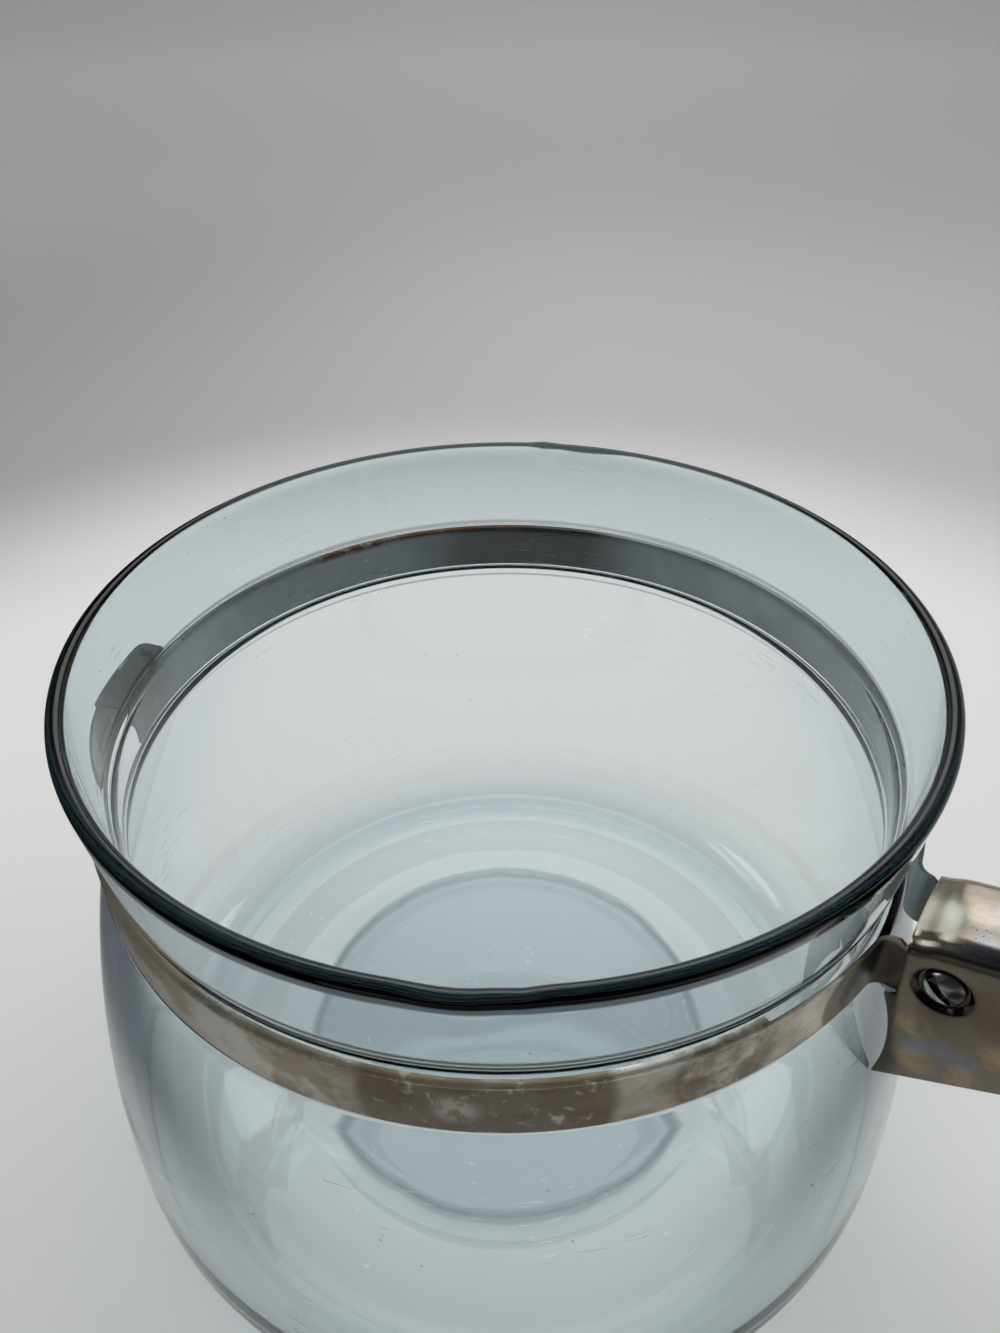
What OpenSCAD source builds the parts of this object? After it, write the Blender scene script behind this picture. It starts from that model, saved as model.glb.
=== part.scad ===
// Lower vessel of a glass double boiler. A flared collar sits on a swelling
// body, a strap in two halves lies in the groove between them, and one screw
// draws the two ends of the strap together inside a pressed channel handle.
// Millimetres. The origin is the middle of the flat base, +Z is up, and the
// handle points along +X.

/* [Glass vessel] */
// Outer diameter of the rim
rim_d = 179.2; // [150:0.1:220]
// Height from the base to the top of the rim
vessel_h = 140; // [115:1:175]
// Wall thickness of the glass
glass_t = 3.2; // [2.4:0.1:3.6]
// Thickness of the floor in the middle
floor_t = 4.2; // [3.8:0.1:6]
// Radius of the raised pad on the floor
floor_pad_r = 57; // [40:1:60]
// Radius of the bead that rounds off the rim
bead_r = 1.7; // [1.6:0.1:2.4]
// How much further out the rim stands than the lower edge of the collar
collar_flare = 2.7; // [1:0.1:6]
// Depth of the collar, from the top of the rim to its lower edge
collar_h = 23.7; // [18:0.1:32]
// How far the groove is set in from the lower edge of the collar
groove_depth = 1.3; // [0.8:0.1:2]
// How far the body swells out beyond the shoulder
belly_swell = 14; // [6:0.1:20]
// Radius of the round corner between the side and the base
corner_r = 20; // [14:1:32]
// Radius of the same corner inside the vessel
corner_in_r = 26; // [14:1:34]

/* [Pouring lips] */
// Width of a pouring lip along the rim
lip_w = 38; // [24:1:44]
// How far a lip dips below the rim
lip_dip = 0.7; // [0.3:0.1:1.4]
// Turns of the two lips round the vessel, from the handle
lip_turns = [-62, 110];

/* [Strap] */
// Width of the strap
strap_w = 12.3; // [10:0.1:14]
// Thickness of the strap's sheet
strap_t = 0.8; // [0.6:0.1:1]
// How far the strap's inner face stands off the glass of the groove
strap_standoff = 1.5; // [1.2:0.1:2]
// Turn from the handle at which the strap starts to ease off the glass
ease_turn = 35; // [20:1:50]
// How much wider than the strap the easing arc is
ease_r = 9.5; // [6:0.5:14]
// Distance from the middle plane of the handle to the middle of each lug
lug_offset = 8.7; // [7.5:0.1:11]
// Bend radius where the strap turns out into a lug, at mid thickness
lug_bend_r = 3.2; // [1.5:0.1:4]
// Distance from the strap's outer face to the middle of the screw
screw_reach = 11.9; // [10.5:0.1:15]
// Width of the strap's inward top lip
top_lip_w = 1.1; // [0.6:0.1:1.1]

/* [Keeper at the back] */
// Turn at which the rear half of the strap ends
rear_end_turn = 211.6; // [205:0.1:216]
// Turn at which the keeper shelf begins
shelf_turn = 198.1; // [196:0.1:200]
// Turn at which the keeper shelf ends
shelf_end_turn = 213.6; // [211:0.1:215]
// Radial width of the keeper shelf
shelf_w = 7.7; // [7.4:0.1:9]
// Radius of the front half's tail where it passes under the shelf
tail_r = 47; // [44:1:50]
// Turn at which the tail stands off furthest
tail_turn = -150; // [-151:1:-148]
// How far the tail's middle stands off the strap's middle at its furthest
tail_standoff = 6.9; // [6.2:0.1:7.1]
// Bend radius where the tail leaves the glass
tail_bend_r = 26; // [15:1:35]
// Turn at which the tail hooks in towards the glass
hook_turn = -158.6; // [-159.5:0.1:-157]
// Bend radius of the hook, at mid thickness
hook_r = 1.6; // [1.2:0.1:2]
// Length of the nib that pokes up from the hook through the shelf's slot
nib_l = 3.2; // [2:0.1:3.4]

/* [Handle] */
// Length of the handle along its top
handle_l = 145; // [120:1:180]
// Angle at which the handle rises
handle_tilt = 15; // [8:1:20]
// Thickness of the handle's sheet
handle_t = 0.9; // [0.7:0.1:1.2]
// Bend radius along the handle's top edges, outside
handle_edge_r = 3.6; // [2:0.1:5]
// Height of the handle's cheeks at the root, measured square to the top
root_h = 37.6; // [32:0.1:42]
// Height of the handle along the grip, measured square to the top
grip_h = 21; // [16:0.1:28]
// Angle between the cheeks' lower edge and the top
taper = 15; // [10:1:25]
// Width of the turned-in edges under the grip
grip_edge_w = 3.4; // [2:0.1:6]
// Gap between the strap's outer face and the handle's root
root_gap = 4.1; // [3:0.1:6]
// Height of the handle's top over the strap's top edge, at the root
root_rise = 2.6; // [1.6:0.1:5]
// Width of the hanging slot
slot_w = 7; // [5:0.1:9]
// Length of the hanging slot
slot_l = 17; // [10:0.5:24]

/* [Clamp screw] */
// Diameter of the screw's shank
screw_d = 4.16; // [3:0.02:4.5]
// Diameter of the screw's head
head_d = 7.4; // [6:0.1:8]
// Height of the screw's head
head_h = 2.1; // [1.4:0.1:2.6]
// Width of the driver slot
driver_w = 1.2; // [0.6:0.1:1.6]
// Turn of the driver slot
driver_turn = 35; // [-90:5:90]
// Width across the flats of the nut
nut_af = 7; // [6:0.1:7.2]
// Thickness of the nut
nut_h = 2.6; // [2:0.1:3.5]
// Travel of the nut along the screw when it is slackened
nut_travel = 1.2; // [0.5:0.1:1.2]
// Depth of the round dimples pressed into the handle and the lugs
dimple_depth = 1.2; // [0.8:0.1:1.4]
// Diameter of a dimple at the face of the sheet
dimple_d = 10.6; // [9.6:0.1:11]
// Diameter of a dimple's flat floor
dimple_floor_d = 8.6; // [8.2:0.1:9]

/* [Fits] */
// Gap between flat parts that lie together
face_gap = 0.1; // [0.05:0.01:0.15]
// Gap between metal and glass
glass_gap = 0.35; // [0.2:0.01:0.5]
// Radial clearance of the screw in the nut
thread_gap = 0.04; // [0.01:0.01:0.1]
// Radial clearance of the screw in the sheet holes
hole_gap = 0.35; // [0.2:0.01:0.5]

/* [Hidden] */

$fn = 96;
round_fn = 180;   // facets of the large round shapes
chord_error = 0.012; // how far an outline's chords may leave the true arc
widest_step = 12; // most degrees between two points of an arc
over = 1;         // how far a cut runs past what it cuts
far = 60;         // longer than any cut across the handle

steel = [0.62, 0.60, 0.57];
bright_steel = [0.74, 0.73, 0.71];
glass = [0.78, 0.87, 0.91, 0.45];

// Heights, counted down from the top of the rim.
rim_r = rim_d / 2;
bead_z = vessel_h - bead_r;
collar_low_z = vessel_h - collar_h;
shelf_lift = 0.2;
strap_top_z = collar_low_z - glass_gap - strap_t - shelf_lift;
strap_low_z = strap_top_z - strap_w;
strap_mid_z = (strap_top_z + strap_low_z) / 2;
shelf_z = strap_top_z + shelf_lift;

// Radii, counted in from the rim.
collar_low_r = rim_r - collar_flare;
neck_r = collar_low_r - groove_depth;
neck_in_r = neck_r - glass_t;
strap_in_r = neck_r + strap_standoff;
strap_out_r = strap_in_r + strap_t;
strap_mid_r = strap_in_r + strap_t / 2;

// The shoulder's round edge, and the long arc of the side that runs into it.
shoulder_round = 1.6;
shoulder_x = neck_r + strap_standoff / 2;
shoulder_z = strap_low_z - glass_gap - shoulder_round;
belly_r = shoulder_x + belly_swell;
side_rise = shoulder_z - corner_r;
side_r = (belly_swell ^ 2 + side_rise ^ 2 - shoulder_round ^ 2)
    / (2 * (belly_swell - shoulder_round));
side_turn = atan2(side_rise, side_r - belly_swell);

// The hollow corner between the shoulder and the groove.
hollow_r = 1.3;
hollow_x = neck_r + hollow_r;
hollow_z = shoulder_z + sqrt((hollow_r + shoulder_round) ^ 2 - (hollow_x - shoulder_x) ^ 2);
hollow_turn = atan2(hollow_z - shoulder_z, hollow_x - shoulder_x);

// The collar's lower edge and the line from it up to the bead.
edge_round = 1.6;
edge_x = collar_low_r - edge_round;
edge_z = collar_low_z + edge_round;
bead_x = rim_r - bead_r;
collar_line = norm([bead_x - edge_x, bead_z - edge_z]);
collar_turn = asin((bead_r - edge_round) / collar_line) - atan2(bead_x - edge_x, bead_z - edge_z);

// The lugs: the strap's arc ends where it meets the bend into the lug.
ease_at = [-ease_r * cos(ease_turn), ease_r * sin(ease_turn)];
bend_y = lug_offset + lug_bend_r;
bend_x = ease_at.x + sqrt((strap_mid_r + ease_r + lug_bend_r) ^ 2 - (ease_at.y + bend_y) ^ 2);
bend_turn = atan2(ease_at.y + bend_y, bend_x - ease_at.x);
screw_x = strap_out_r + screw_reach;
screw_z = strap_mid_z;
lug_edge_y = lug_offset + strap_t / 2;
lug_reach = 7;     // how far a lug runs on past the middle of the screw
lip_start_turn = ease_turn - 10;

// The tail of the front half: one arc out and one arc back in.
tail_reach = strap_mid_r + tail_standoff;
tail_x = tail_reach - tail_r;
tail_out = strap_mid_r + tail_bend_r;
tail_sum = tail_bend_r + tail_r;
tail_apart = acos((tail_out ^ 2 + tail_x ^ 2 - tail_sum ^ 2) / (2 * tail_out * tail_x));
tail_leave_turn = tail_turn + tail_apart;
leave_at = [tail_out * cos(tail_leave_turn), tail_out * sin(tail_leave_turn)];
back_at = [tail_x * cos(tail_turn), tail_x * sin(tail_turn)];
swing = atan2(back_at.y - leave_at.y, back_at.x - leave_at.x);

// How far the middle of the tail is from the vessel's axis at turn t.
function tail_mid_r(t) =
    tail_x * cos(t - tail_turn) + sqrt(tail_r ^ 2 - (tail_x * sin(t - tail_turn)) ^ 2);

// The hook at the tail's end: it turns by a right angle about hook_at, and its
// flange runs in from there. hook_own is the hook's turn about the tail's centre.
hook_own = tail_turn + asin(tail_mid_r(hook_turn) * sin(hook_turn - tail_turn) / tail_r);
hook_out = [cos(hook_own), sin(hook_own)];
hook_at = back_at + (tail_r - hook_r) * hook_out;
flange_l = 2.6;    // straight length of the hook's flange
nib_gap = 0.25;    // room round the nib in the shelf's slot
nib_rise = 1.1;    // how far the nib stands above the shelf
nib_root = 3;      // how far the nib reaches down into the tail
shelf_corner = 2.6;// round corner of the shelf
lip_run_out = 4;   // degrees by which the top lip stops short of a bend

// The handle, in its own frame: u along the top, w square to it.
cheek_in_y = lug_edge_y + face_gap;
handle_w = 2 * (cheek_in_y + handle_t);
root_x = strap_out_r + root_gap;
root_z = strap_top_z + root_rise;
lug_trim = max(0, handle_edge_r - root_rise - 0.2);
end_r = handle_w / 2;
tip_u = -8.6;      // foot of the cheeks, below and in front of the root
notch_u = -2.6;    // back of the notch that lets the lug in
notch_w = (strap_low_z - face_gap * 5 - root_z) / cos(handle_tilt) + 0.8;
step_u = -4.9;     // nose of the cheek just under the notch
cheek_hollow = 1.8;// how far the cheek's front edge is hollowed
grip_u = tip_u + (root_h - grip_h) / tan(taper);
grip_blend_r = 40; // round transition from the taper to the grip
end_round = 7;     // lower corner of the handle's end
slot_u = handle_l - 24;

// The screw's place between the cheeks.
face_y = cheek_in_y + handle_t;
seat_y = face_y - dimple_depth + face_gap / 2;
hole_r = screw_d / 2 + hole_gap;
screw_end_y = seat_y + nut_h + nut_travel + 0.4;

// Points of an arc round c, from turn a to turn b.
function arc(c, r, a, b) =
    let (step = min(widest_step, 2 * acos(1 - chord_error / r)))
    let (n = ceil(abs(b - a) / step), turn = (b - a) / max(n, 1))
    [for (i = [0:n]) [c.x + r * cos(a + turn * i), c.y + r * sin(a + turn * i)]];

// Outline of the vessel's outer face, from the middle of the base to the bead,
// standing off the glass by gap.
function outer_points(gap) = concat(
    [[0, -gap]],
    arc([belly_r - corner_r, corner_r], corner_r + gap, -90, 0),
    arc([belly_r - side_r, corner_r], side_r + gap, 0, side_turn),
    arc([shoulder_x, shoulder_z], shoulder_round + gap, side_turn, hollow_turn),
    arc([hollow_x, hollow_z], hollow_r - gap, 180 + hollow_turn, 180),
    arc([edge_x, edge_z], edge_round + gap, -acos((neck_r - edge_x) / edge_round), collar_turn)
);

// Outline of the inner face, from the bead down to the middle of the floor. The
// side's arc keeps the wall's thickness, from the crease under the neck to the
// inner corner, which touches it and the floor.
function inner_points() =
    let (crease_turn = 248, crease_r = hollow_r + glass_t)
    let (crease_z = hollow_z + crease_r * sin(crease_turn) - 0.4)
    let (side_in_r = side_r - glass_t, side_x = belly_r - side_r)
    let (corner_z = glass_t + corner_in_r, up = corner_z - corner_r)
    let (corner_x = side_x + sqrt((side_in_r - corner_in_r) ^ 2 - up ^ 2))
    let (corner_turn = atan2(up, corner_x - side_x))
    concat(
        [[collar_low_r - glass_t, edge_z], [neck_in_r, collar_low_z - 1.2]],
        arc([hollow_x, hollow_z], crease_r, 180, crease_turn),
        arc([side_x, corner_r], side_in_r, asin((crease_z - corner_r) / side_in_r), corner_turn),
        arc([corner_x, corner_z], corner_in_r, corner_turn, -90),
        [[floor_pad_r + 2.5, glass_t], [floor_pad_r, floor_t], [0, floor_t]]
    );

module vessel_profile() {
    polygon(concat(
        outer_points(0),
        arc([bead_x, bead_z], bead_r, collar_turn, 180 + collar_turn),
        inner_points()
    ));
}

// The space that the glass fills, grown by gap, to cut clear of it.
module vessel_room(gap) {
    rotate_extrude($fn = round_fn)
        polygon(concat(
            outer_points(gap),
            [[rim_r + gap, bead_z], [rim_r + gap, vessel_h], [0, vessel_h]]
        ));
}

// A shallow round dip across the rim.
module lip_dip_cut(turn) {
    dip_r = ((lip_w / 2) ^ 2 + lip_dip ^ 2) / (2 * lip_dip);
    rotate([0, 0, turn])
        translate([rim_r - 4 * bead_r, 0, vessel_h - lip_dip + dip_r])
            rotate([0, 90, 0])
                cylinder(r = dip_r, h = 8 * bead_r, $fn = round_fn);
}

module glass_vessel() {
    color(glass)
        difference() {
            rotate_extrude($fn = round_fn) vessel_profile();
            for (turn = lip_turns) lip_dip_cut(turn);
        }
}

// Part of a ring: it lies between two radii, from turn a to turn b.
module ring_part(r_in, r_out, a, b, z, h) {
    translate([0, 0, z])
        linear_extrude(h)
            polygon(concat(arc([0, 0], r_out, a, b), arc([0, 0], r_in, b, a)));
}

// The middle line of a strap half on the -Y side, as arcs of
// [centre, radius, from turn, to turn, +1 bent round the glass or -1 away].
function hug_arcs(end_turn) = [
    [[bend_x, -bend_y], lug_bend_r, 90, 180 - bend_turn, -1],
    [ease_at, strap_mid_r + ease_r, -bend_turn, -ease_turn, 1],
    [[0, 0], strap_mid_r, -ease_turn, end_turn, 1]
];
tail_arcs = [
    [leave_at, tail_bend_r, tail_leave_turn + 180, swing, -1],
    [back_at, tail_r, swing - 180, hook_own, 1],
    [hook_at, hook_r, hook_own, hook_own - 90, 1],
    [hook_at - flange_l * hook_out, hook_r, hook_own - 90, hook_own - 90, 1]
];

// One face of the sheet along such arcs: side is +1 outside and -1 inside.
function strap_side(arcs, side) =
    [for (q = arcs) each arc(q[0], q[1] + side * q[4] * strap_t / 2, q[2], q[3])];

// Outline of the sheet seen from above.
function strap_outline(arcs) =
    let (inside = strap_side(arcs, -1))
    concat(strap_side(arcs, 1), [for (i = [len(inside) - 1:-1:0]) inside[i]]);

// The sheet itself, standing on the strap's lower edge.
module strap_sheet(arcs, h) {
    translate([0, 0, strap_low_z])
        linear_extrude(h)
            polygon(strap_outline(arcs));
}

// The form that a pressed dimple adds to a sheet of thickness t. The sheet's
// outer face is at 0 and depth is counted along +Z. Room widens the dimple, so
// that the one in a lug takes in the one in the cheek beside it.
module dimple_cup(t, room = 0) {
    rotate_extrude()
        polygon([
            [0, t / 2],
            [dimple_d / 2 + room, t / 2],
            [dimple_d / 2 + room, t],
            [dimple_floor_d / 2 + room, dimple_depth + t],
            [0, dimple_depth + t]
        ]);
}

// What it takes away: the dimple itself and the hole for the screw.
module dimple_cut(t, room = 0) {
    rotate_extrude()
        polygon([
            [0, -over],
            [dimple_d / 2 + room, -over],
            [dimple_d / 2 + room, 0],
            [dimple_floor_d / 2 + room, dimple_depth],
            [hole_r, dimple_depth],
            [hole_r, dimple_depth + t + over],
            [0, dimple_depth + t + over]
        ]);
}

// Turns a dimple's depth along +Y, from the face at y on the -Y side.
module at_screw(y) {
    translate([screw_x, y, screw_z])
        rotate([-90, 0, 0])
            children();
}

// Lug on the -Y side: the plate from the bend out past the screw. Its top edge
// slopes down at the root, to pass under the bend of the handle's top.
module lug() {
    lug_end_x = screw_x + lug_reach;
    lug_top_z = strap_top_z - lug_trim;
    difference() {
        union() {
            translate([0, strap_t - lug_edge_y, 0])
                rotate([90, 0, 0])
                    linear_extrude(strap_t)
                        polygon([
                            [bend_x, strap_low_z],
                            [lug_end_x, strap_low_z],
                            [lug_end_x, lug_top_z],
                            [root_x, lug_top_z],
                            [bend_x, strap_top_z]
                        ]);
            at_screw(-lug_edge_y) dimple_cup(strap_t, 2 * face_gap);
        }
        at_screw(-lug_edge_y) dimple_cut(strap_t, 2 * face_gap);
    }
}

// The nib that stands on the hook's flange, grown by gap, from height z.
module nib(gap, z, h) {
    translate([hook_at.x, hook_at.y, z])
        rotate([0, 0, hook_own])
            translate([-flange_l - gap, -hook_r - strap_t / 2 - gap, 0])
                cube([nib_l + 2 * gap, strap_t + 2 * gap, h]);
}

// Inward lip along the strap's top edge, from turn a to turn b.
module top_lip(a, b) {
    ring_part(strap_in_r - top_lip_w, strap_mid_r, a, b, strap_top_z - strap_t, strap_t);
}

// The half that hugs the glass on the -Y side. Its tail swings off the glass
// and ends under the keeper shelf.
module front_strap() {
    color(steel) {
        lug();
        strap_sheet(concat(hug_arcs(tail_leave_turn), tail_arcs), strap_w);
        top_lip(-lip_start_turn, tail_leave_turn + lip_run_out);
        nib(0, strap_top_z - nib_root, nib_root + shelf_lift + strap_t + nib_rise);
    }
}

// Flat shelf at the rear half's end, with a rounded far corner. It runs on past
// the end of the strap, and the nib stands in its slot.
module keeper_shelf() {
    shelf_in_r = strap_in_r - 0.5;
    shelf_out_r = strap_in_r + shelf_w;
    difference() {
        ring_part(shelf_in_r, shelf_out_r, shelf_turn, shelf_end_turn, shelf_z, strap_t);
        nib(nib_gap, shelf_z - over, strap_t + 2 * over);
        rotate([0, 0, shelf_turn])
            translate([shelf_out_r - shelf_corner, 0, shelf_z - over])
                linear_extrude(strap_t + 2 * over)
                    polygon(concat(
                        [[shelf_corner + over, -over]],
                        arc([0, shelf_corner], shelf_corner, 0, -90),
                        [[0, -over]]
                    ));
    }
}

// The half that hugs the glass on the +Y side and round the back. Its arcs are
// written for the -Y side and mirrored.
module rear_strap() {
    riser = [[[0, 0], strap_mid_r, -shelf_turn, -rear_end_turn, 1]];
    color(steel) {
        mirror([0, 1, 0]) {
            lug();
            strap_sheet(hug_arcs(-shelf_turn), strap_w);
            strap_sheet(riser, strap_w + shelf_lift + strap_t);
        }
        top_lip(lip_start_turn, shelf_turn - lip_run_out);
        keeper_shelf();
    }
}

// Half of the handle's cross-section, with its rounded top edge: x across from
// the middle plane, y along w.
module half_section(inset) {
    half = handle_w / 2 - inset;
    r = handle_edge_r - inset;
    translate([0, -far]) square([half, far - handle_edge_r]);
    translate([0, -far]) square([half - r, far - inset]);
    translate([half - r, -handle_edge_r]) circle(r = r);
}

// Solid of the handle's outer form, or of its hollow when inset: the section
// drawn along u, closed by the same section turned about the end's middle.
module handle_solid(inset) {
    end_u = handle_l - end_r;
    translate([tip_u - 2 * over, 0, 0])
        rotate([90, 0, 90])
            linear_extrude(end_u - tip_u + 2 * over)
                union() {
                    half_section(inset);
                    mirror([1, 0]) half_section(inset);
                }
    translate([end_u, 0, 0])
        rotate([0, 0, -90])
            rotate_extrude(angle = 180)
                half_section(inset);
}

// Points of the hollowed front edge of a cheek, from the nose to the foot.
function cheek_front() =
    let (a = [step_u, notch_w], b = [tip_u, -root_h])
    let (chord = norm(b - a), r = ((chord / 2) ^ 2 + cheek_hollow ^ 2) / (2 * cheek_hollow))
    let (m = (a + b) / 2, along = (b - a) / chord)
    let (c = m + [along.y, -along.x] * (r - cheek_hollow))
    let (t0 = atan2(a.y - c.y, a.x - c.x), t1 = atan2(b.y - c.y, b.x - c.x))
    arc(c, r, t0, t0 + (t1 - t0 > 180 ? t1 - t0 - 360 : t1 - t0 < -180 ? t1 - t0 + 360 : t1 - t0));

// Side view of the handle: the notch for the lug, the hollowed front edge, the
// tapering lower edge, and the grip with its rounded end.
function side_points() =
    let (blend = grip_blend_r * tan(taper / 2))
    concat(
        [[0, over], [0, 0], [notch_u, notch_w + 0.7]],
        cheek_front(),
        arc([grip_u + blend, -grip_h - grip_blend_r], grip_blend_r, 90 + taper, 90),
        arc([handle_l - end_round, -grip_h + end_round], end_round, -90, 0),
        [[handle_l, over]]
    );

module side_view(width) {
    rotate([90, 0, 0])
        linear_extrude(width, center = true)
            polygon(side_points());
}

// The hollow under the top: open below along the root and the taper, and
// closed by the turned-in edges along the grip.
module handle_hollow() {
    difference() {
        handle_solid(handle_t);
        translate([grip_u, -far, -grip_h - far])
            cube([handle_l, 2 * far, far + handle_t]);
    }
    half = handle_w / 2 - grip_edge_w;
    translate([grip_u - over, -half, -grip_h - over])
        cube([handle_l - end_r - grip_u, 2 * half, grip_h]);
    translate([handle_l - end_r - over, 0, -grip_h - over])
        cylinder(r = half, h = grip_h);
}

module hanging_slot() {
    for (u = [slot_u - (slot_l - slot_w) / 2, slot_u + (slot_l - slot_w) / 2])
        translate([u, 0, -over - handle_t]) cylinder(d = slot_w, h = handle_t + 2 * over);
    translate([slot_u - (slot_l - slot_w) / 2, -slot_w / 2, -over - handle_t])
        cube([slot_l - slot_w, slot_w, handle_t + 2 * over]);
}

// A dimple's form or its cut, in both cheeks.
module at_cheeks() {
    at_screw(-face_y) children();
    mirror([0, 1, 0]) at_screw(-face_y) children();
}

module handle_shell() {
    color(bright_steel)
        difference() {
            union() {
                translate([root_x, 0, root_z])
                    rotate([0, -handle_tilt, 0])
                        difference() {
                            intersection() {
                                handle_solid(0);
                                side_view(handle_w + 2 * over);
                            }
                            handle_hollow();
                            hanging_slot();
                        }
                at_cheeks() dimple_cup(handle_t);
            }
            at_cheeks() dimple_cut(handle_t);
            vessel_room(glass_gap);
        }
}

// Screw with a domed slotted head on the -Y side. Its middle line is along Y.
module clamp_screw() {
    dome_r = (head_d ^ 2 / 4 + (head_h - 0.5) ^ 2) / (2 * (head_h - 0.5));
    color(bright_steel)
        at_screw(-seat_y)
            difference() {
                union() {
                    cylinder(d = screw_d, h = seat_y + screw_end_y);
                    intersection() {
                        translate([0, 0, dome_r - head_h]) sphere(r = dome_r);
                        translate([0, 0, -head_h]) cylinder(d = head_d, h = head_h);
                    }
                }
                rotate([0, 0, driver_turn])
                    translate([-head_d, -driver_w / 2, -head_h - over])
                        cube([2 * head_d, driver_w, head_h / 2 + over]);
            }
}

module clamp_nut() {
    color(steel)
        translate([screw_x, seat_y, screw_z])
            rotate([-90, 0, 0])
                difference() {
                    cylinder(r = nut_af / 2 / cos(30), h = nut_h, $fn = 6);
                    translate([0, 0, -over])
                        cylinder(r = screw_d / 2 + thread_gap, h = nut_h + 2 * over);
                }
}

glass_vessel();
front_strap();
rear_strap();
handle_shell();
clamp_screw();
clamp_nut();
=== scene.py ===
"""Looks of the lower vessel of a glass double boiler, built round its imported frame.

The glass vessel is turned as one smooth lathe piece with its pouring lips pulled out. The two strap
halves and the pressed handle are seamed copies of their solids with their sheet edges eased. The
clamp screw and its nut are modelled anew. Lengths are millimetres in the classes of the pieces, and
metres in the finishes and the studio. Every mesh is made in metres in the frame's own axes.
"""

import logging
import math
from collections.abc import Callable
from dataclasses import dataclass, field
from enum import Enum

import bpy
from bpy.types import Material, Node, NodeSocket, NodeTree, Object
from mathutils import Matrix, Vector


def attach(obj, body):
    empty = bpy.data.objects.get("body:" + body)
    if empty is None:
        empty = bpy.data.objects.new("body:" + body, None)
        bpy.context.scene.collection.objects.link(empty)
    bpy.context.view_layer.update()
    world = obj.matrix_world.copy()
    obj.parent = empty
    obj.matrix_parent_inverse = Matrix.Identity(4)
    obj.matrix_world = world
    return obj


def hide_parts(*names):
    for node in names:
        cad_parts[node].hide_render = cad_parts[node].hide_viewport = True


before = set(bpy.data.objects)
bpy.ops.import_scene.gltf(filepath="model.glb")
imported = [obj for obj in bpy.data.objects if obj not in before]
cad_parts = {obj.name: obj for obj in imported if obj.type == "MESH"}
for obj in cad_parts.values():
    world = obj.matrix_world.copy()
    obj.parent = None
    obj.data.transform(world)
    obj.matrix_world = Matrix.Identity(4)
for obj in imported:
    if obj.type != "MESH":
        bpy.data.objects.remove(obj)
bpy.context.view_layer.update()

# A point of a profile, or the two ends of a range; a place or a size along the three axes; and a
# colour with its alpha.
Point = tuple[float, float]
Place = tuple[float, float, float]
Colour = tuple[float, float, float, float]

PLANE = bpy.ops.mesh.primitive_plane_add
CUBE = bpy.ops.mesh.primitive_cube_add
CYLINDER = bpy.ops.mesh.primitive_cylinder_add

MM = 0.001
LOG = logging.getLogger("vessel")

# In millimetres, how near points of a made mesh and of a copy are before they merge; in degrees, how
# flat a copy's joined faces are, and from which turn its edges are eased or shaded sharp.
MERGE = 0.001
SEAM = 0.002
FLAT = 0.4
EASED = 40.0
SHARP = 32.0

# In metres: the strap's radius; Y of the handle's near cheek and of the screw head's near side; and
# X and Z of the screw's middle line and of one step along its slot.
STRAP_R = 0.0875
CHEEK_Y = -0.0101
HEAD_Y = -0.0102
SCREW_XZ = (0.0998, 0.1088)
SLOT_STEP = (0.00082, -0.00057)


# Small helpers for modelling by hand


def select_only(*pieces: Object) -> None:
    """Select the given objects and nothing else, and make the first one active.

    Args:
        pieces: The objects.
    """
    bpy.ops.object.select_all(action="DESELECT")
    for piece in pieces:
        piece.select_set(True)
    bpy.context.view_layer.objects.active = pieces[0]


def edit(piece: Object, selected: bool = True) -> None:
    """Open a mesh in edit mode with all of it selected, or none of it.

    Args:
        piece: The mesh object.
        selected: Say if all of it is selected.
    """
    select_only(piece)
    bpy.ops.object.mode_set(mode="EDIT")
    bpy.ops.mesh.select_mode(type="VERT")
    bpy.ops.mesh.select_all(action="SELECT" if selected else "DESELECT")


def finish_edit() -> None:
    """Leave edit mode."""
    bpy.ops.object.mode_set(mode="OBJECT")


def clear_selection(piece: Object) -> None:
    """Leave nothing of a mesh selected."""
    edit(piece, selected=False)
    finish_edit()


def settle(piece: Object) -> None:
    """Put an object's place, turn and scale into its mesh."""
    select_only(piece)
    bpy.ops.object.transform_apply(location=True, rotation=True, scale=True)


def add_primitive(operator: Callable[..., object], name: str, **settings: object) -> Object:
    """Add a primitive mesh under its own name.

    Args:
        operator: What adds it.
        name: Name of the new object.
        settings: What the operator takes.

    Returns:
        The new object.
    """
    bpy.ops.object.select_all(action="DESELECT")
    operator(**settings)
    piece = bpy.context.object
    piece.name = name
    return piece


def pull_selected(piece: Object, pull: Vector, reach: float) -> None:
    """Move the selected points of a mesh, and those around them less and less.

    Args:
        piece: The mesh object.
        pull: The move, in metres.
        reach: How far around it falls off to nothing, in metres.
    """
    bpy.context.view_layer.objects.active = piece
    bpy.ops.object.mode_set(mode="EDIT")
    bpy.ops.transform.translate(
        value=pull,
        use_proportional_edit=True,
        proportional_edit_falloff="SMOOTH",
        proportional_size=reach,
    )
    finish_edit()


def apply_modifiers(piece: Object) -> None:
    """Apply every modifier of a piece, in order.

    Args:
        piece: The piece.
    """
    select_only(piece)
    for modifier in list(piece.modifiers):
        bpy.ops.object.modifier_apply(modifier=modifier.name)


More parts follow.
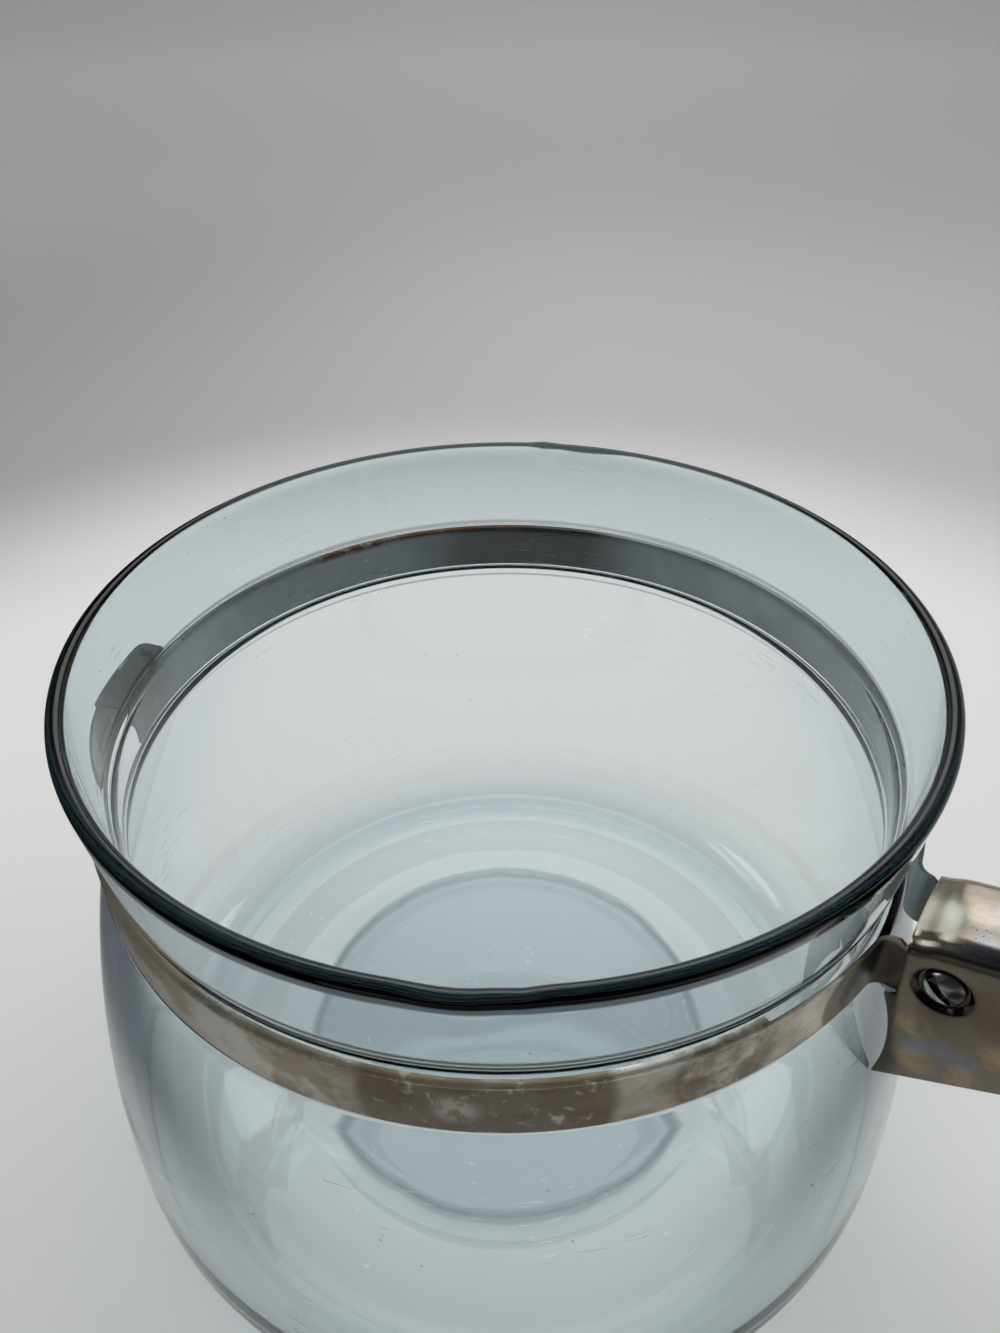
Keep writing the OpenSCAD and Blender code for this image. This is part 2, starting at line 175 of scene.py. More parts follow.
def arc(centre: Point, radius: float, start: float, end: float, steps: int) -> list[Point]:
    """Points of an arc in the profile plane.

    Args:
        centre: Middle of the arc, as distance from the axis and height.
        radius: Radius of the arc.
        start: Turn of the first point, in degrees.
        end: Turn of the last point, in degrees.
        steps: Number of chords.

    Returns:
        The points from start to end, both included.
    """
    turns = [math.radians(start + (end - start) * i / steps) for i in range(steps + 1)]
    return [(centre[0] + radius * math.cos(t), centre[1] + radius * math.sin(t)) for t in turns]


def line(start: Point, end: Point, steps: int) -> list[Point]:
    """Points inside a straight stretch, without its two ends."""
    shares = [i / steps for i in range(1, steps)]
    return [tuple(a + (b - a) * s for a, b in zip(start, end)) for s in shares]


def turn_profile(name: str, profile: list[Point], segments: int) -> Object:
    """Turn a profile about the Z axis, as on a lathe.

    Args:
        name: Name of the new object.
        profile: Points as distance from the axis and height, in millimetres.
        segments: Number of steps round the axis.

    Returns:
        A closed mesh with its normals pointing out.
    """
    start = (profile[0][0] * MM, 0, profile[0][1] * MM)
    piece = add_primitive(PLANE, name, size=MM, location=start)
    settle(piece)
    edit(piece)
    bpy.ops.mesh.merge(type="CENTER")
    for (r0, z0), (r1, z1) in zip(profile, profile[1:]):
        step = ((r1 - r0) * MM, 0, (z1 - z0) * MM)
        bpy.ops.mesh.extrude_region_move(TRANSFORM_OT_translate={"value": step})
    bpy.ops.mesh.select_all(action="SELECT")
    bpy.ops.mesh.spin(steps=segments, angle=math.tau, center=(0, 0, 0), axis=(0, 0, 1))
    bpy.ops.mesh.select_all(action="SELECT")
    bpy.ops.mesh.remove_doubles(threshold=MM * MERGE)
    bpy.ops.mesh.normals_make_consistent(inside=False)
    finish_edit()
    return piece


class Cut(Enum):
    """How a tool solid cuts a piece: its own shape is taken away, or only what is in it stays."""

    AWAY = "DIFFERENCE"
    WITHIN = "INTERSECT"


def cut_with(piece: Object, tool: Object, cut: Cut) -> None:
    """Cut a piece with a tool solid and delete the tool.

    Args:
        piece: The piece that stays.
        tool: The closed solid that shapes it.
        cut: How it is cut.
    """
    modifier = piece.modifiers.new("shape", "BOOLEAN")
    modifier.operation = cut.value
    modifier.solver = "EXACT"
    modifier.object = tool
    apply_modifiers(piece)
    bpy.data.objects.remove(tool)


def seamed_copy(node: str, name: str) -> Object:
    """Copy a frame node's mesh and merge its loose triangles into one closed skin.

    Args:
        node: The frame node.
        name: Name of the new object.

    Returns:
        The merged copy, whose flat faces are single faces again.
    """
    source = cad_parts[node]
    piece = bpy.data.objects.new(name, source.data.copy())
    bpy.context.scene.collection.objects.link(piece)
    piece.data.materials.clear()
    edit(piece)
    bpy.ops.mesh.remove_doubles(threshold=MM * SEAM)
    bpy.ops.mesh.dissolve_limited(angle_limit=math.radians(FLAT))
    bpy.ops.mesh.customdata_custom_splitnormals_clear()
    finish_edit()
    return piece


def ease_edges(piece: Object, width: float, segments: int = 2) -> None:
    """Round off the sharp edges of a sheet piece and shade its long curves smooth.

    Args:
        piece: The piece.
        width: Width of the rounding, in millimetres.
        segments: Number of faces across the rounding.
    """
    bevel = piece.modifiers.new("eased", "BEVEL")
    bevel.width = width * MM
    bevel.segments = segments
    bevel.limit_method = "ANGLE"
    bevel.angle_limit = math.radians(EASED)
    bevel.use_clamp_overlap = True
    apply_modifiers(piece)
    select_only(piece)
    bpy.ops.object.shade_smooth_by_angle(angle=math.radians(SHARP))


# Shader graphs


class Graph:
    """A node tree that is built line by line."""

    def __init__(self, tree: NodeTree) -> None:
        """Keep the tree and clear it."""
        self.tree = tree
        tree.nodes.clear()

    def add(self, kind: str, *values: object, **settings: object) -> Node:
        """Add a node.

        Args:
            kind: The node's type, without its ShaderNode prefix where it has one.
            values: Outputs or plain values for its first inputs, in their order.
            settings: Attributes of the node.

        Returns:
            The new node.
        """
        prefix = "" if kind.startswith("Node") else "ShaderNode"
        node = self.tree.nodes.new(prefix + kind)
        for key, value in settings.items():
            setattr(node, key, value)
        for socket, value in zip(node.inputs, values):
            self.feed(socket, value)
        return node

    def feed(self, socket: NodeSocket, value: object) -> None:
        """Link a socket to another node's output, or set its own value.

        Args:
            socket: The input.
            value: An output to link, or a plain value.
        """
        if isinstance(value, NodeSocket):
            self.tree.links.new(value, socket)
        else:
            socket.default_value = value

    def fill(self, node: Node, values: dict[str, object]) -> None:
        """Feed several inputs of a node, by their names."""
        for name, value in values.items():
            self.feed(node.inputs[name], value)

    def math(self, operation: str, a: object, b: object = 0.0, c: object = 0.0) -> NodeSocket:
        """Output of a Math node."""
        return self.add("Math", a, b, c, operation=operation).outputs[0]

    def times(self, a: object, b: object) -> NodeSocket:
        """Multiply two values."""
        return self.math("MULTIPLY", a, b)

    def vector(self, operation: str, a: object, b: object = (0, 0, 0)) -> NodeSocket:
        """Output of a Vector Math node: one value for a product, a distance or a length."""
        single = operation in ("DOT_PRODUCT", "DISTANCE", "LENGTH")
        return self.add("VectorMath", a, b, operation=operation).outputs["Value" if single else "Vector"]

    def axes(self, vector: object) -> bpy.types.bpy_prop_collection:
        """Split a vector into its three values."""
        return self.add("SeparateXYZ", vector).outputs

    def remap(self, value: object, low: object, high: object, to: Point = (0.0, 1.0)) -> NodeSocket:
        """Ease a value from one range to another, held at both ends."""
        return self.add("MapRange", value, low, high, *to, interpolation_type="SMOOTHSTEP").outputs[0]

    def mix(self, share: object, a: object, b: object) -> NodeSocket:
        """Mix two colours.

        Args:
            share: Share of the second colour.
            a: First colour.
            b: Second colour.

        Returns:
            The mixed colour.
        """
        node = self.add("Mix", share, data_type="RGBA")
        for socket, colour in zip(node.inputs[6:], (a, b)):
            self.feed(socket, colour)
        return node.outputs[2]

    def noise(self, where: object, scale: object, detail: float = 4.0, rough: float = 0.55) -> NodeSocket:
        """Value of a noise pattern, with how many finer layers it has and how strong they are."""
        return self.add("TexNoise", where, 0.0, scale, detail, rough).outputs["Fac"]

    def bump(self, depth: float, height: object) -> NodeSocket:
        """Normal of a surface with a relief.

        Args:
            depth: How deep the relief is, in metres.
            height: Its height, as a share of that.

        Returns:
            The normal.
        """
        node = self.add("Bump")
        self.fill(node, {"Distance": depth, "Height": height})
        return node.outputs[0]

    def group(self, tree: NodeTree, **values: object) -> Node:
        """Place a node group.

        Args:
            tree: The group.
            values: Values or outputs for its named inputs.

        Returns:
            The group's node.
        """
        node = self.add("Group", node_tree=tree)
        self.fill(node, values)
        return node


class Kind(Enum):
    """What a node group's socket holds."""

    FLOAT = "NodeSocketFloat"
    VECTOR = "NodeSocketVector"


def new_group(name: str, inputs: dict[str, Kind], outputs: dict[str, Kind]) -> tuple[Graph, Node, Node]:
    """Start a node group.

    Args:
        name: Name of the group.
        inputs: What its named inputs hold.
        outputs: What its named outputs hold.

    Returns:
        The graph, its input node and its output node.
    """
    tree = bpy.data.node_groups.new(name, "ShaderNodeTree")
    for in_out, sockets in (("INPUT", inputs), ("OUTPUT", outputs)):
        for label, kind in sockets.items():
            tree.interface.new_socket(label, in_out=in_out, socket_type=kind.value)
    graph = Graph(tree)
    return graph, graph.add("NodeGroupInput"), graph.add("NodeGroupOutput")


class Effects:
    """The surface effects that several finishes share, each built once as a node group."""

    blotch_fine: float = 3.1
    blotch_warp: float = 0.35
    pit_field: float = 0.31
    pit_chosen: Point = (0.45, 0.7)
    scratch_drawn: Place = (0.09, 1.0, 1.6)
    scratch_turn: Place = (0.0, 0.12, 0.05)
    scratch_field: float = 0.035
    scratch_soft: float = 0.03
    scratch_chosen: Point = (0.52, 0.62)

    def __init__(self) -> None:
        """Build every group."""
        self.wrap = self._wrap()
        self.blotches = self._blotches()
        self.pits = self._pits()
        self.spot = self._spot()
        self.scratches = self._scratches()

    def _wrap(self) -> NodeTree:
        """Coordinates round the vessel: arc length at the strap, radius, height.

        Returns:
            The group.
        """
        graph, ins, outs = new_group("wrapped_coordinates", {"Radius": Kind.FLOAT}, {"Vector": Kind.VECTOR})
        x, y, z = graph.axes(graph.add("TexCoord").outputs["Object"])
        turn = graph.math("ARCTAN2", y, x)
        squares = graph.math("ADD", graph.times(x, x), graph.times(y, y))
        across = graph.math("SQRT", squares)
        joined = graph.add("CombineXYZ", graph.times(turn, ins.outputs["Radius"]), across, z)
        graph.feed(outs.inputs["Vector"], joined.outputs[0])
        return graph.tree

    def _blotches(self) -> NodeTree:
        """Soft-edged stains: a mask that is 1 inside them.

        Returns:
            The group.
        """
        inputs = {"Vector": Kind.VECTOR, "Scale": Kind.FLOAT, "Level": Kind.FLOAT, "Softness": Kind.FLOAT}
        graph, ins, outs = new_group("blotches", inputs, {"Mask": Kind.FLOAT})
        place, scale, level, soft = (ins.outputs[name] for name in inputs)
        warp = graph.noise(place, graph.times(scale, self.blotch_fine), 3.0)
        value = graph.noise(place, scale, 6.0, 0.62)
        uneven = graph.times(graph.math("SUBTRACT", warp, 0.5), self.blotch_warp)
        low = graph.math("SUBTRACT", level, soft)
        high = graph.math("ADD", level, soft)
        mask = graph.remap(graph.math("ADD", value, uneven), low, high)
        graph.feed(outs.inputs["Mask"], mask)
        return graph.tree

    def _pits(self) -> NodeTree:
        """Fine dark specks with a depth, as on metal that has stood wet.

        Returns:
            The group.
        """
        inputs = {"Vector": Kind.VECTOR, "Scale": Kind.FLOAT, "Size": Kind.FLOAT}
        graph, ins, outs = new_group("pits", inputs, {"Mask": Kind.FLOAT, "Depth": Kind.FLOAT})
        place, scale, widest = (ins.outputs[name] for name in inputs)
        cells = graph.add("TexVoronoi", place, 0.0, scale, feature="F1")
        chosen = graph.noise(place, graph.times(scale, self.pit_field), 2.0)
        size = graph.times(widest, graph.remap(chosen, *self.pit_chosen))
        mask = graph.remap(cells.outputs["Distance"], graph.times(size, 0.5), size, (1.0, 0.0))
        graph.feed(outs.inputs["Mask"], mask)
        graph.feed(outs.inputs["Depth"], graph.times(mask, -1.0))
        return graph.tree

    def _spot(self) -> NodeTree:
        """A round place on the object: 1 at its middle, 0 outside its radius.

        Returns:
            The group.
        """
        inputs = {"Vector": Kind.VECTOR, "Centre": Kind.VECTOR, "Radius": Kind.FLOAT, "Full": Kind.FLOAT}
        graph, ins, outs = new_group("spot", inputs, {"Mask": Kind.FLOAT})
        place, centre, radius, full = (ins.outputs[name] for name in inputs)
        away = graph.vector("DISTANCE", place, centre)
        graph.feed(outs.inputs["Mask"], graph.remap(away, graph.times(radius, full), radius, (1.0, 0.0)))
        return graph.tree

    def _scratches(self) -> NodeTree:
        """Short fine scratches that lie along the first axis of their coordinates.

        Returns:
            The group.
        """
        inputs = {"Vector": Kind.VECTOR, "Scale": Kind.FLOAT, "Level": Kind.FLOAT}
        graph, ins, outs = new_group("scratches", inputs, {"Mask": Kind.FLOAT})
        place, scale, level = (ins.outputs[name] for name in inputs)
        drawn = graph.add("Mapping", place, (0, 0, 0), self.scratch_turn, self.scratch_drawn)
        fine = graph.noise(drawn.outputs[0], scale, 2.0, 0.5)
        lines = graph.remap(fine, level, graph.math("ADD", level, self.scratch_soft))
        coarse = graph.noise(place, graph.times(scale, self.scratch_field), 2.0)
        graph.feed(outs.inputs["Mask"], graph.times(lines, graph.remap(coarse, *self.scratch_chosen)))
        return graph.tree


def new_material(name: str) -> tuple[Material, Graph, Node, Node]:
    """Start a material with a Principled shader.

    Args:
        name: Name of the material.

    Returns:
        The material, its graph, the shader and the output node.
    """
    material = bpy.data.materials.new(name)
    material.use_nodes = True
    graph = Graph(material.node_tree)
    shader = graph.add("BsdfPrincipled")
    output = graph.add("OutputMaterial")
    graph.feed(output.inputs["Surface"], shader.outputs[0])
    return material, graph, shader, output


@dataclass(frozen=True)
class GlassFinish:
    """Clear, faintly blue-grey glass with wear scratches and a slow waviness, and painted shade on its rim
    bead, on its flank below the strap and on its floor pad.
    """

    tint: Colour = (0.965, 0.982, 0.985, 1.0)
    edge_tint: Colour = (0.60, 0.66, 0.70, 1.0)
    # Painted shade: the rim bead's outer face is painted nearly black.
    rim_shade: Colour = (0.012, 0.020, 0.024, 1.0)
    rim_centre: Point = (0.0879, 0.1383)
    rim_below: Point = (0.1362, 0.1370)
    rim_split: Point = (-0.0010, -0.0006)
    rim_lean: Point = (0.95, 0.31)
    collar_tint: Colour = (0.76, 0.825, 0.845, 1.0)
    collar_from: Point = (0.1155, 0.1185)
    # Painted shade: the body's flank below the strap, dark blue-grey where it is seen edge on.
    flank_shade: Colour = (0.035, 0.048, 0.065, 1.0)
    flank_facing: Point = (0.44, 0.72)
    flank_height: Point = (0.040, 0.082)
    flank_top: Point = (0.1005, 0.1025)
    flank_out: Point = (0.1, 0.4)
    # Painted shade: the floor pad a little darker, and an uneven darker line round its edge.
    pad_shade: Colour = (0.80, 0.86, 0.89, 1.0)
    pad_edge_shade: Colour = (0.48, 0.53, 0.54, 1.0)
    pad_r: float = 0.0545
    pad_top: Point = (0.0048, 0.0056)
    pad_soft: float = 0.0008
    pad_line: Point = (0.0004, 0.0016)
    pad_wander: float = 0.0012
    pad_wander_scale: float = 70.0
    depth_colour: Colour = (0.34, 0.55, 0.60, 1.0)
    depth_density: float = 28.0
    shade: Colour = (0.96, 0.97, 0.975, 1.0)
    ior: float = 1.474
    scratch_wrap_r: float = 0.09
    scratch_scale: float = 900.0
    scratch_level: float = 0.66
    scratch_tint: Colour = (0.74, 0.72, 0.69, 1.0)
    scratch_share: float = 0.18
    scratch_haze: float = 0.35
    speck_scale: float = 170.0
    speck_size: float = 0.09
    speck_tint: Colour = (0.45, 0.46, 0.46, 1.0)
    speck_share: float = 0.45
    speck_haze: float = 0.5
    edge_facing: Point = (0.45, 0.97)
    wave_scale: float = 38.0
    wave_depth: float = 0.00006

    def build(self, effects: Effects) -> Material:
        """Build the material. Lamps shine through it, so that what is inside stays lit.

        Args:
            effects: The shared effect groups.

        Returns:
            The material.
        """
        material, graph, shader, output = new_material("vessel_glass")
        place = graph.add("TexCoord").outputs["Object"]
        around = graph.group(effects.wrap, Radius=self.scratch_wrap_r).outputs[0]
        marks = graph.group(
            effects.scratches, Vector=around, Scale=self.scratch_scale, Level=self.scratch_level
        ).outputs[0]
        specks = graph.group(
            effects.pits, Vector=place, Scale=self.speck_scale, Size=self.speck_size
        ).outputs["Mask"]
        cloudy = graph.times(marks, self.scratch_haze)
        dusty = graph.times(specks, self.speck_haze)
        colour = graph.mix(graph.remap(graph.axes(place)[2], *self.collar_from), self.tint, self.collar_tint)
        colour = graph.mix(graph.times(marks, self.scratch_share), colour, self.scratch_tint)
        colour = graph.mix(graph.times(specks, self.speck_share), colour, self.speck_tint)
        facing = graph.add("LayerWeight", 0.5).outputs["Facing"]
        colour = graph.mix(graph.remap(facing, *self.edge_facing), colour, self.edge_tint)
        flank_shaded = graph.times(self._flank(graph, place), graph.remap(facing, *self.flank_facing))
        colour = graph.mix(flank_shaded, colour, self.flank_shade)
        colour = self._pad(graph, effects, place, colour)
        colour = graph.mix(self._rim(graph, effects), colour, self.rim_shade)
        waves = graph.noise(place, self.wave_scale, 1.0, 0.4)
        graph.fill(
            shader,
            {
                "Base Color": colour,
                "Roughness": graph.math("MAXIMUM", cloudy, dusty),
                "IOR": self.ior,
                "Transmission Weight": 1.0,
                "Normal": graph.bump(self.wave_depth, waves),
            },
        )
        path = graph.add("LightPath").outputs
        through = graph.math("MAXIMUM", path["Is Shadow Ray"], path["Is Diffuse Ray"])
        see_through = graph.add("BsdfTransparent", self.shade)
        joined = graph.add("MixShader", through, shader.outputs[0], see_through.outputs[0])
        depth = graph.add("VolumeAbsorption", self.depth_colour, self.depth_density)
        graph.fill(output, {"Surface": joined.outputs[0], "Volume": depth.outputs[0]})
        return material

    def _rim(self, graph: Graph, effects: Effects) -> NodeSocket:
        """Mask of the rim bead's outer face, painted nearly black as painted shade where light enters the
        wall end on.

        Args:
            graph: The material's graph.
            effects: The shared effect groups.

        Returns:
            The mask.
        """
        _, from_axis, height = graph.axes(graph.group(effects.wrap, Radius=1.0).outputs[0])
        across = graph.math("SUBTRACT", from_axis, self.rim_centre[0])
        above = graph.math("SUBTRACT", height, self.rim_centre[1])
        lean_out, lean_up = self.rim_lean
        outward = graph.math("ADD", graph.times(across, lean_out), graph.times(above, lean_up))
        bead = graph.times(graph.remap(outward, *self.rim_split), graph.remap(height, *self.rim_below))
        entering = graph.math("SUBTRACT", 1.0, graph.add("NewGeometry").outputs["Backfacing"])
        return graph.times(bead, entering)

    def _pad(self, graph: Graph, effects: Effects, place: NodeSocket, colour: NodeSocket) -> NodeSocket:
        """Paint shade on the pressed floor pad: a little darker over it, and darker still in an uneven line
        round its edge.

        Args:
            graph: The material's graph.
            effects: The shared effect groups.
            place: The object's coordinates.
            colour: The glass's colour elsewhere.

        Returns:
            The colour with the pad in it.
        """
        _, from_axis, height = graph.axes(graph.group(effects.wrap, Radius=1.0).outputs[0])
        wander = self.pad_wander
        drift = graph.noise(place, self.pad_wander_scale, 3.0)
        uneven = graph.math("MULTIPLY_ADD", drift, 2 * wander, -wander)
        across = graph.math("ADD", from_axis, uneven)
        low = graph.remap(height, *self.pad_top, (1.0, 0.0))
        within = graph.remap(across, self.pad_r - self.pad_soft, self.pad_r, (1.0, 0.0))
        inside = graph.times(low, within)
        beside = graph.math("ABSOLUTE", graph.math("SUBTRACT", across, self.pad_r))
        edge = graph.times(low, graph.remap(beside, *self.pad_line, (1.0, 0.0)))
        return graph.mix(edge, graph.mix(inside, colour, self.pad_shade), self.pad_edge_shade)

    def _flank(self, graph: Graph, place: NodeSocket) -> NodeSocket:
        """Mask of the body's outer face below the strap, where painted shade turns the wall dark blue-grey
        as it is seen edge on.

        Args:
            graph: The material's graph.
            place: The object's coordinates.

        Returns:
            The mask.
        """
        surface = graph.add("NewGeometry")
        height = graph.axes(place)[2]
        level = graph.vector("NORMALIZE", graph.vector("MULTIPLY", place, (1, 1, 0)))
        out = graph.vector("DOT_PRODUCT", surface.outputs["Normal"], level)
        outer = graph.remap(out, *self.flank_out)
        outer = graph.times(outer, graph.remap(height, *self.flank_height))
        outer = graph.times(outer, graph.remap(height, *self.flank_top, (1.0, 0.0)))
        return graph.times(outer, graph.math("SUBTRACT", 1.0, surface.outputs["Backfacing"]))


class Steel(Enum):
    """The steel pieces' finishes, as the material's name and the slot in the record."""

    FRONT = ("front_strap_steel", "strap_steel")
    REAR_SHADED = ("rear_strap_shaded_steel", "strap_steel")
    HANDLE = ("handle_steel", "handle_steel")
    SCREW = ("screw_steel", "screw_steel")
    NUT = ("nut_steel", "nut_steel")


class Mark(Enum):
    """What a marked place is covered with, or the painted shade it gets: its colour, and how much of the
    metal it hides.
    """

    # Painted shade: near-black, for recesses, gaps and dark reflections on the metal.
    PAINTED_SHADE = ((0.05, 0.042, 0.036, 1.0), 0.9)
    BROWN = ((0.14, 0.105, 0.065, 1.0), 0.8)
    PALE = ((0.66, 0.64, 0.60, 1.0), 0.6)
    BLUE = ((0.17, 0.22, 0.32, 1.0), 0.6)
    TAN = ((0.42, 0.31, 0.17, 1.0), 0.6)


@dataclass(frozen=True)
class Patch:
    """A stained place on the metal, or a place of painted shade.

    Attributes:
        mark: What covers it, or None where the metal has rusted.
        centre: Where it is, in metres.
        radius: How far it reaches, in metres.
        level: How much of the place it fills: lower fills more.
        above: Height under which it fades out, in metres.
        full: Share of the radius over which it is whole.
        soft: How softly its broken edges fade.
    """

    mark: Mark | None
    centre: Place
    radius: float
    level: float = 0.5
    above: float = -1.0
    full: float = 0.35
    soft: float = 0.07


@dataclass(frozen=True)
class SteelFinish:
    """Worn steel sheet: grain, stains, pits and rust in named places, and painted shade on the handle's side
    cheeks and in named places.
    """

    name: Steel
    clean: Colour
    stained: Colour
    tinted: Colour
    roughness: float = 0.32
    grain_scale: float = 2400.0
    grain_draw: float = 0.06
    grain_rough: float = 0.16
    grain_depth: float = 0.00002
    stain_scale: float = 60.0
    stain_level: float = 0.5
    stain_soft: float = 0.07
    tint_scale: float = 45.0
    tint_level: float = 0.52
    tint_soft: float = 0.16
    pit_scale: float = 1500.0
    pit_size: float = 0.3
    pit_colour: Colour = (0.10, 0.085, 0.07, 1.0)
    pit_share: float = 0.6
    pit_relief: float = 1.5
    rust_dark: Colour = (0.055, 0.028, 0.016, 1.0)
    rust_light: Colour = (0.20, 0.085, 0.035, 1.0)
    rust_fleck_scale: float = 900.0
    rust_metal: float = 0.15
    rust_rough: float = 0.4
    rust_relief: float = 3.0
    patch_scale: float = 260.0
    patch_rise: float = 0.0016
    wrapped: bool = True
    # Painted shade on the side cheeks, beyond a distance from the middle plane: a dark brown over a share of
    # the steel.
    cheek_shade_from: float = 1.0
    cheek_shade_soft: float = 0.0006
    cheek_shade: Colour = (0.120, 0.102, 0.074, 1.0)
    cheek_shade_share: float = 0.82
    marks: tuple[Patch, ...] = field(default=())
    rust: tuple[Patch, ...] = field(default=())

    def build(self, effects: Effects) -> Material:
        """Build the material.

        Args:
            effects: The shared effect groups.

        Returns:
            The material.
        """
        material, graph, shader, _ = new_material(self.name.value[0])
        place = graph.add("TexCoord").outputs["Object"]
        along = graph.group(effects.wrap, Radius=STRAP_R).outputs[0] if self.wrapped else place
        drawn = graph.add("Mapping", along, (0, 0, 0), (0, 0, 0), (self.grain_draw, 1.0, 1.0))
        grain = graph.noise(drawn.outputs[0], self.grain_scale, 3.0, 0.6)
        blotches = effects.blotches
        stain = graph.group(
            blotches, Vector=place, Scale=self.stain_scale, Level=self.stain_level, Softness=self.stain_soft
        ).outputs[0]
        tint = graph.group(
            blotches, Vector=place, Scale=self.tint_scale, Level=self.tint_level, Softness=self.tint_soft
        ).outputs[0]
        pits = graph.group(effects.pits, Vector=place, Scale=self.pit_scale, Size=self.pit_size)
        colour = graph.mix(stain, self.clean, self.stained)
        colour = graph.mix(tint, colour, self.tinted)
        pitted = graph.times(pits.outputs["Mask"], self.pit_share)
        colour = graph.mix(pitted, colour, self.pit_colour)
        # Painted shade: the side cheeks darkened.
        beside = graph.math("ABSOLUTE", graph.axes(place)[1])
        shaded_cheeks = graph.remap(beside, self.cheek_shade_from, self.cheek_shade_from + self.cheek_shade_soft)
        colour = graph.mix(graph.times(shaded_cheeks, self.cheek_shade_share), colour, self.cheek_shade)
        for patch in self.marks:
            mask = self._patch(graph, effects, place, patch)
            paint, share = patch.mark.value
            colour = graph.mix(graph.times(mask, share), colour, paint)
        rusty: object = 0.0
        for patch in self.rust:
            rusty = graph.math("MAXIMUM", rusty, self._patch(graph, effects, place, patch))
        fleck = graph.noise(place, self.rust_fleck_scale, 4.0, 0.6)
        rust_colour = graph.mix(fleck, self.rust_dark, self.rust_light)
        rough = graph.math("MULTIPLY_ADD", grain, self.grain_rough, self.roughness - self.grain_rough / 2)
        rough = graph.math("ADD", rough, graph.times(stain, self.grain_rough / 2))
        rough = graph.math("ADD", rough, graph.times(rusty, self.rust_rough))
        relief = graph.math("ADD", grain, graph.times(pits.outputs["Depth"], self.pit_relief))
        crust = graph.times(graph.times(rusty, fleck), self.rust_relief)
        graph.fill(
            shader,
            {
                "Base Color": graph.mix(rusty, colour, rust_colour),
                "Metallic": graph.remap(rusty, 0.0, 1.0, (1.0, self.rust_metal)),
                "Roughness": rough,
                "Normal": graph.bump(self.grain_depth, graph.math("ADD", relief, crust)),
            },
        )
        return material

    def _patch(self, graph: Graph, effects: Effects, place: object, patch: Patch) -> NodeSocket:
        """Mask of one stained or painted-shade place, broken up by noise.

        Args:
            graph: The material's graph.
            effects: The shared effect groups.
            place: The object's coordinates.
            patch: The stained place.

        Returns:
            The mask.
        """
        spot = graph.group(
            effects.spot, Vector=place, Centre=patch.centre, Radius=patch.radius, Full=patch.full
        ).outputs[0]
        broken = graph.group(
            effects.blotches, Vector=place, Scale=self.patch_scale, Level=patch.level, Softness=patch.soft
        ).outputs[0]
        upper = graph.remap(graph.axes(place)[2], patch.above, patch.above + self.patch_rise)
        return graph.times(graph.times(spot, broken), upper)


# Pieces


@dataclass(frozen=True)
class Pull:
    """A smooth pull at one place of the vessel's rim.

    Attributes:
        turn: Turn of its middle, in degrees.
        out: How far it pulls the rim out, in millimetres.
        down: How far it lets the rim dip, in millimetres.
        reach: How far round it falls off to nothing, in millimetres.
    """

    turn: float
    out: float
    down: float
    reach: float


